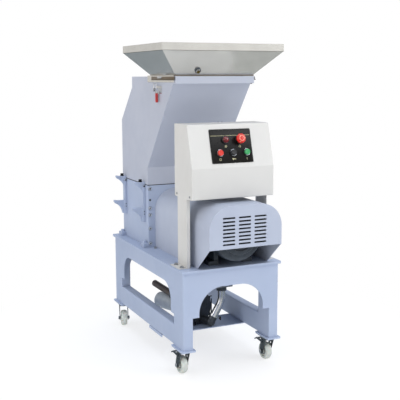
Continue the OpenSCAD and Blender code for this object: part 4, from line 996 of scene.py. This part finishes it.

# %% [markdown]
# The floor is one plain, pale sheet. Glossy rays pass through it, and the bare
# steel mirrors the dimmer lower half of the surround instead. It is a backdrop
# and not part of the machine.

# %% Floor sheet
FLOOR_REACH = 30
floor_mesh = bmesh.new()
bmesh.ops.create_grid(floor_mesh, x_segments=1, y_segments=1, size=FLOOR_REACH)
floor_data = bpy.data.meshes.new("floor")
floor_mesh.to_mesh(floor_data)
floor_mesh.free()
floor = bpy.data.objects.new("floor", floor_data)
floor.visible_glossy = False
scene.collection.objects.link(floor)
print("floor reaches metres each way:", FLOOR_REACH)

# %% [markdown]
# A real studio floor is lit until it merges with the backdrop. Here the floor
# glows white to the camera from about a metre away, and near the machine it
# stays matt enough to carry a faint shadow under the wheels.

# %% Floor finish
GLOW_NEAR, GLOW_FAR, GLOW_LEAST = 0.35, 1.15, 0.60
FLOOR_ROUGHNESS, FLOOR_GLOW, FULL_GLOW = 0.9, 0.16, 1.0
floor_finish, floor_tree, floor_place = new_finish("pale_studio_floor")
matt = add(floor_tree, "ShaderNodeBsdfPrincipled",
           {"Base Color": linear("F7F7F7"), "Roughness": FLOOR_ROUGHNESS,
            "Emission Color": linear("FFFFFF"), "Emission Strength": FLOOR_GLOW})
glow = add(floor_tree, "ShaderNodeEmission",
           {"Color": linear("FFFFFF"), "Strength": FULL_GLOW})
away = add(floor_tree, "ShaderNodeVectorMath", {0: floor_place}, operation="LENGTH")
fade = spread(floor_tree, away.outputs["Value"], GLOW_LEAST, 1.0, GLOW_NEAR, GLOW_FAR)
to_camera = add(floor_tree, "ShaderNodeLightPath").outputs["Is Camera Ray"]
share = add(floor_tree, "ShaderNodeMath", {0: to_camera, 1: fade}, operation="MULTIPLY")
merged = add(floor_tree, "ShaderNodeMixShader",
             {"Fac": share.outputs[0], 1: matt.outputs[0], 2: glow.outputs[0]})
add(floor_tree, "ShaderNodeOutputMaterial", {"Surface": merged.outputs[0]})
floor_data.materials.append(floor_finish)
print("floor glows fully from metres:", GLOW_FAR)

# %% [markdown]
# A surround gives the metals something to mirror. Below the horizon it is dim and
# cool, as a studio floor looks in bare steel; at eye level it is warm and bright,
# and overhead it is a cool white. It is a little brighter in front than behind.
# The camera itself sees plain white. The ramp runs from almost straight down to
# straight up.

# %% Surround
SURROUND = ((0.00, "B2B5B3"), (0.14, "98A1A6"), (0.25, "7C8A93"), (0.34, "969C9E"),
            (0.42, "ECE7DF"), (0.56, "CFD3DA"), (1.00, "C9D2E0"))
RAMP_FROM, RAMP_TO = -0.8, 1.0
FRONT_STRENGTH, REAR_STRENGTH, BACKDROP_STRENGTH = 1.03, 0.80, 1.0
world = bpy.data.worlds.new("studio")
scene.world = world
world.use_nodes = True
sky = world.node_tree
sky.nodes.clear()
direction = add(sky, "ShaderNodeTexCoord").outputs["Generated"]
parts = add(sky, "ShaderNodeSeparateXYZ", {"Vector": direction}).outputs
ramp = add(sky, "ShaderNodeValToRGB",
           {"Fac": spread(sky, parts["Z"], 0.0, 1.0, RAMP_FROM, RAMP_TO)})
while len(ramp.color_ramp.elements) < len(SURROUND):
    ramp.color_ramp.elements.new(0.5)
for stop, (position, tone) in zip(ramp.color_ramp.elements, SURROUND):
    stop.position = position
    stop.color = linear(tone)
strength = spread(sky, parts["Y"], FRONT_STRENGTH, REAR_STRENGTH, -1.0, 1.0)
around = add(sky, "ShaderNodeBackground", {"Color": ramp.outputs["Color"], "Strength": strength})
behind = add(sky, "ShaderNodeBackground",
             {"Color": linear("FFFFFF"), "Strength": BACKDROP_STRENGTH})
seen = add(sky, "ShaderNodeLightPath").outputs["Is Camera Ray"]
either = add(sky, "ShaderNodeMixShader",
             {"Fac": seen, 1: around.outputs[0], 2: behind.outputs[0]})
add(sky, "ShaderNodeOutputWorld", {"Surface": either.outputs[0]})
scene.view_settings.view_transform = "Standard"
print("view transform:", scene.view_settings.view_transform)
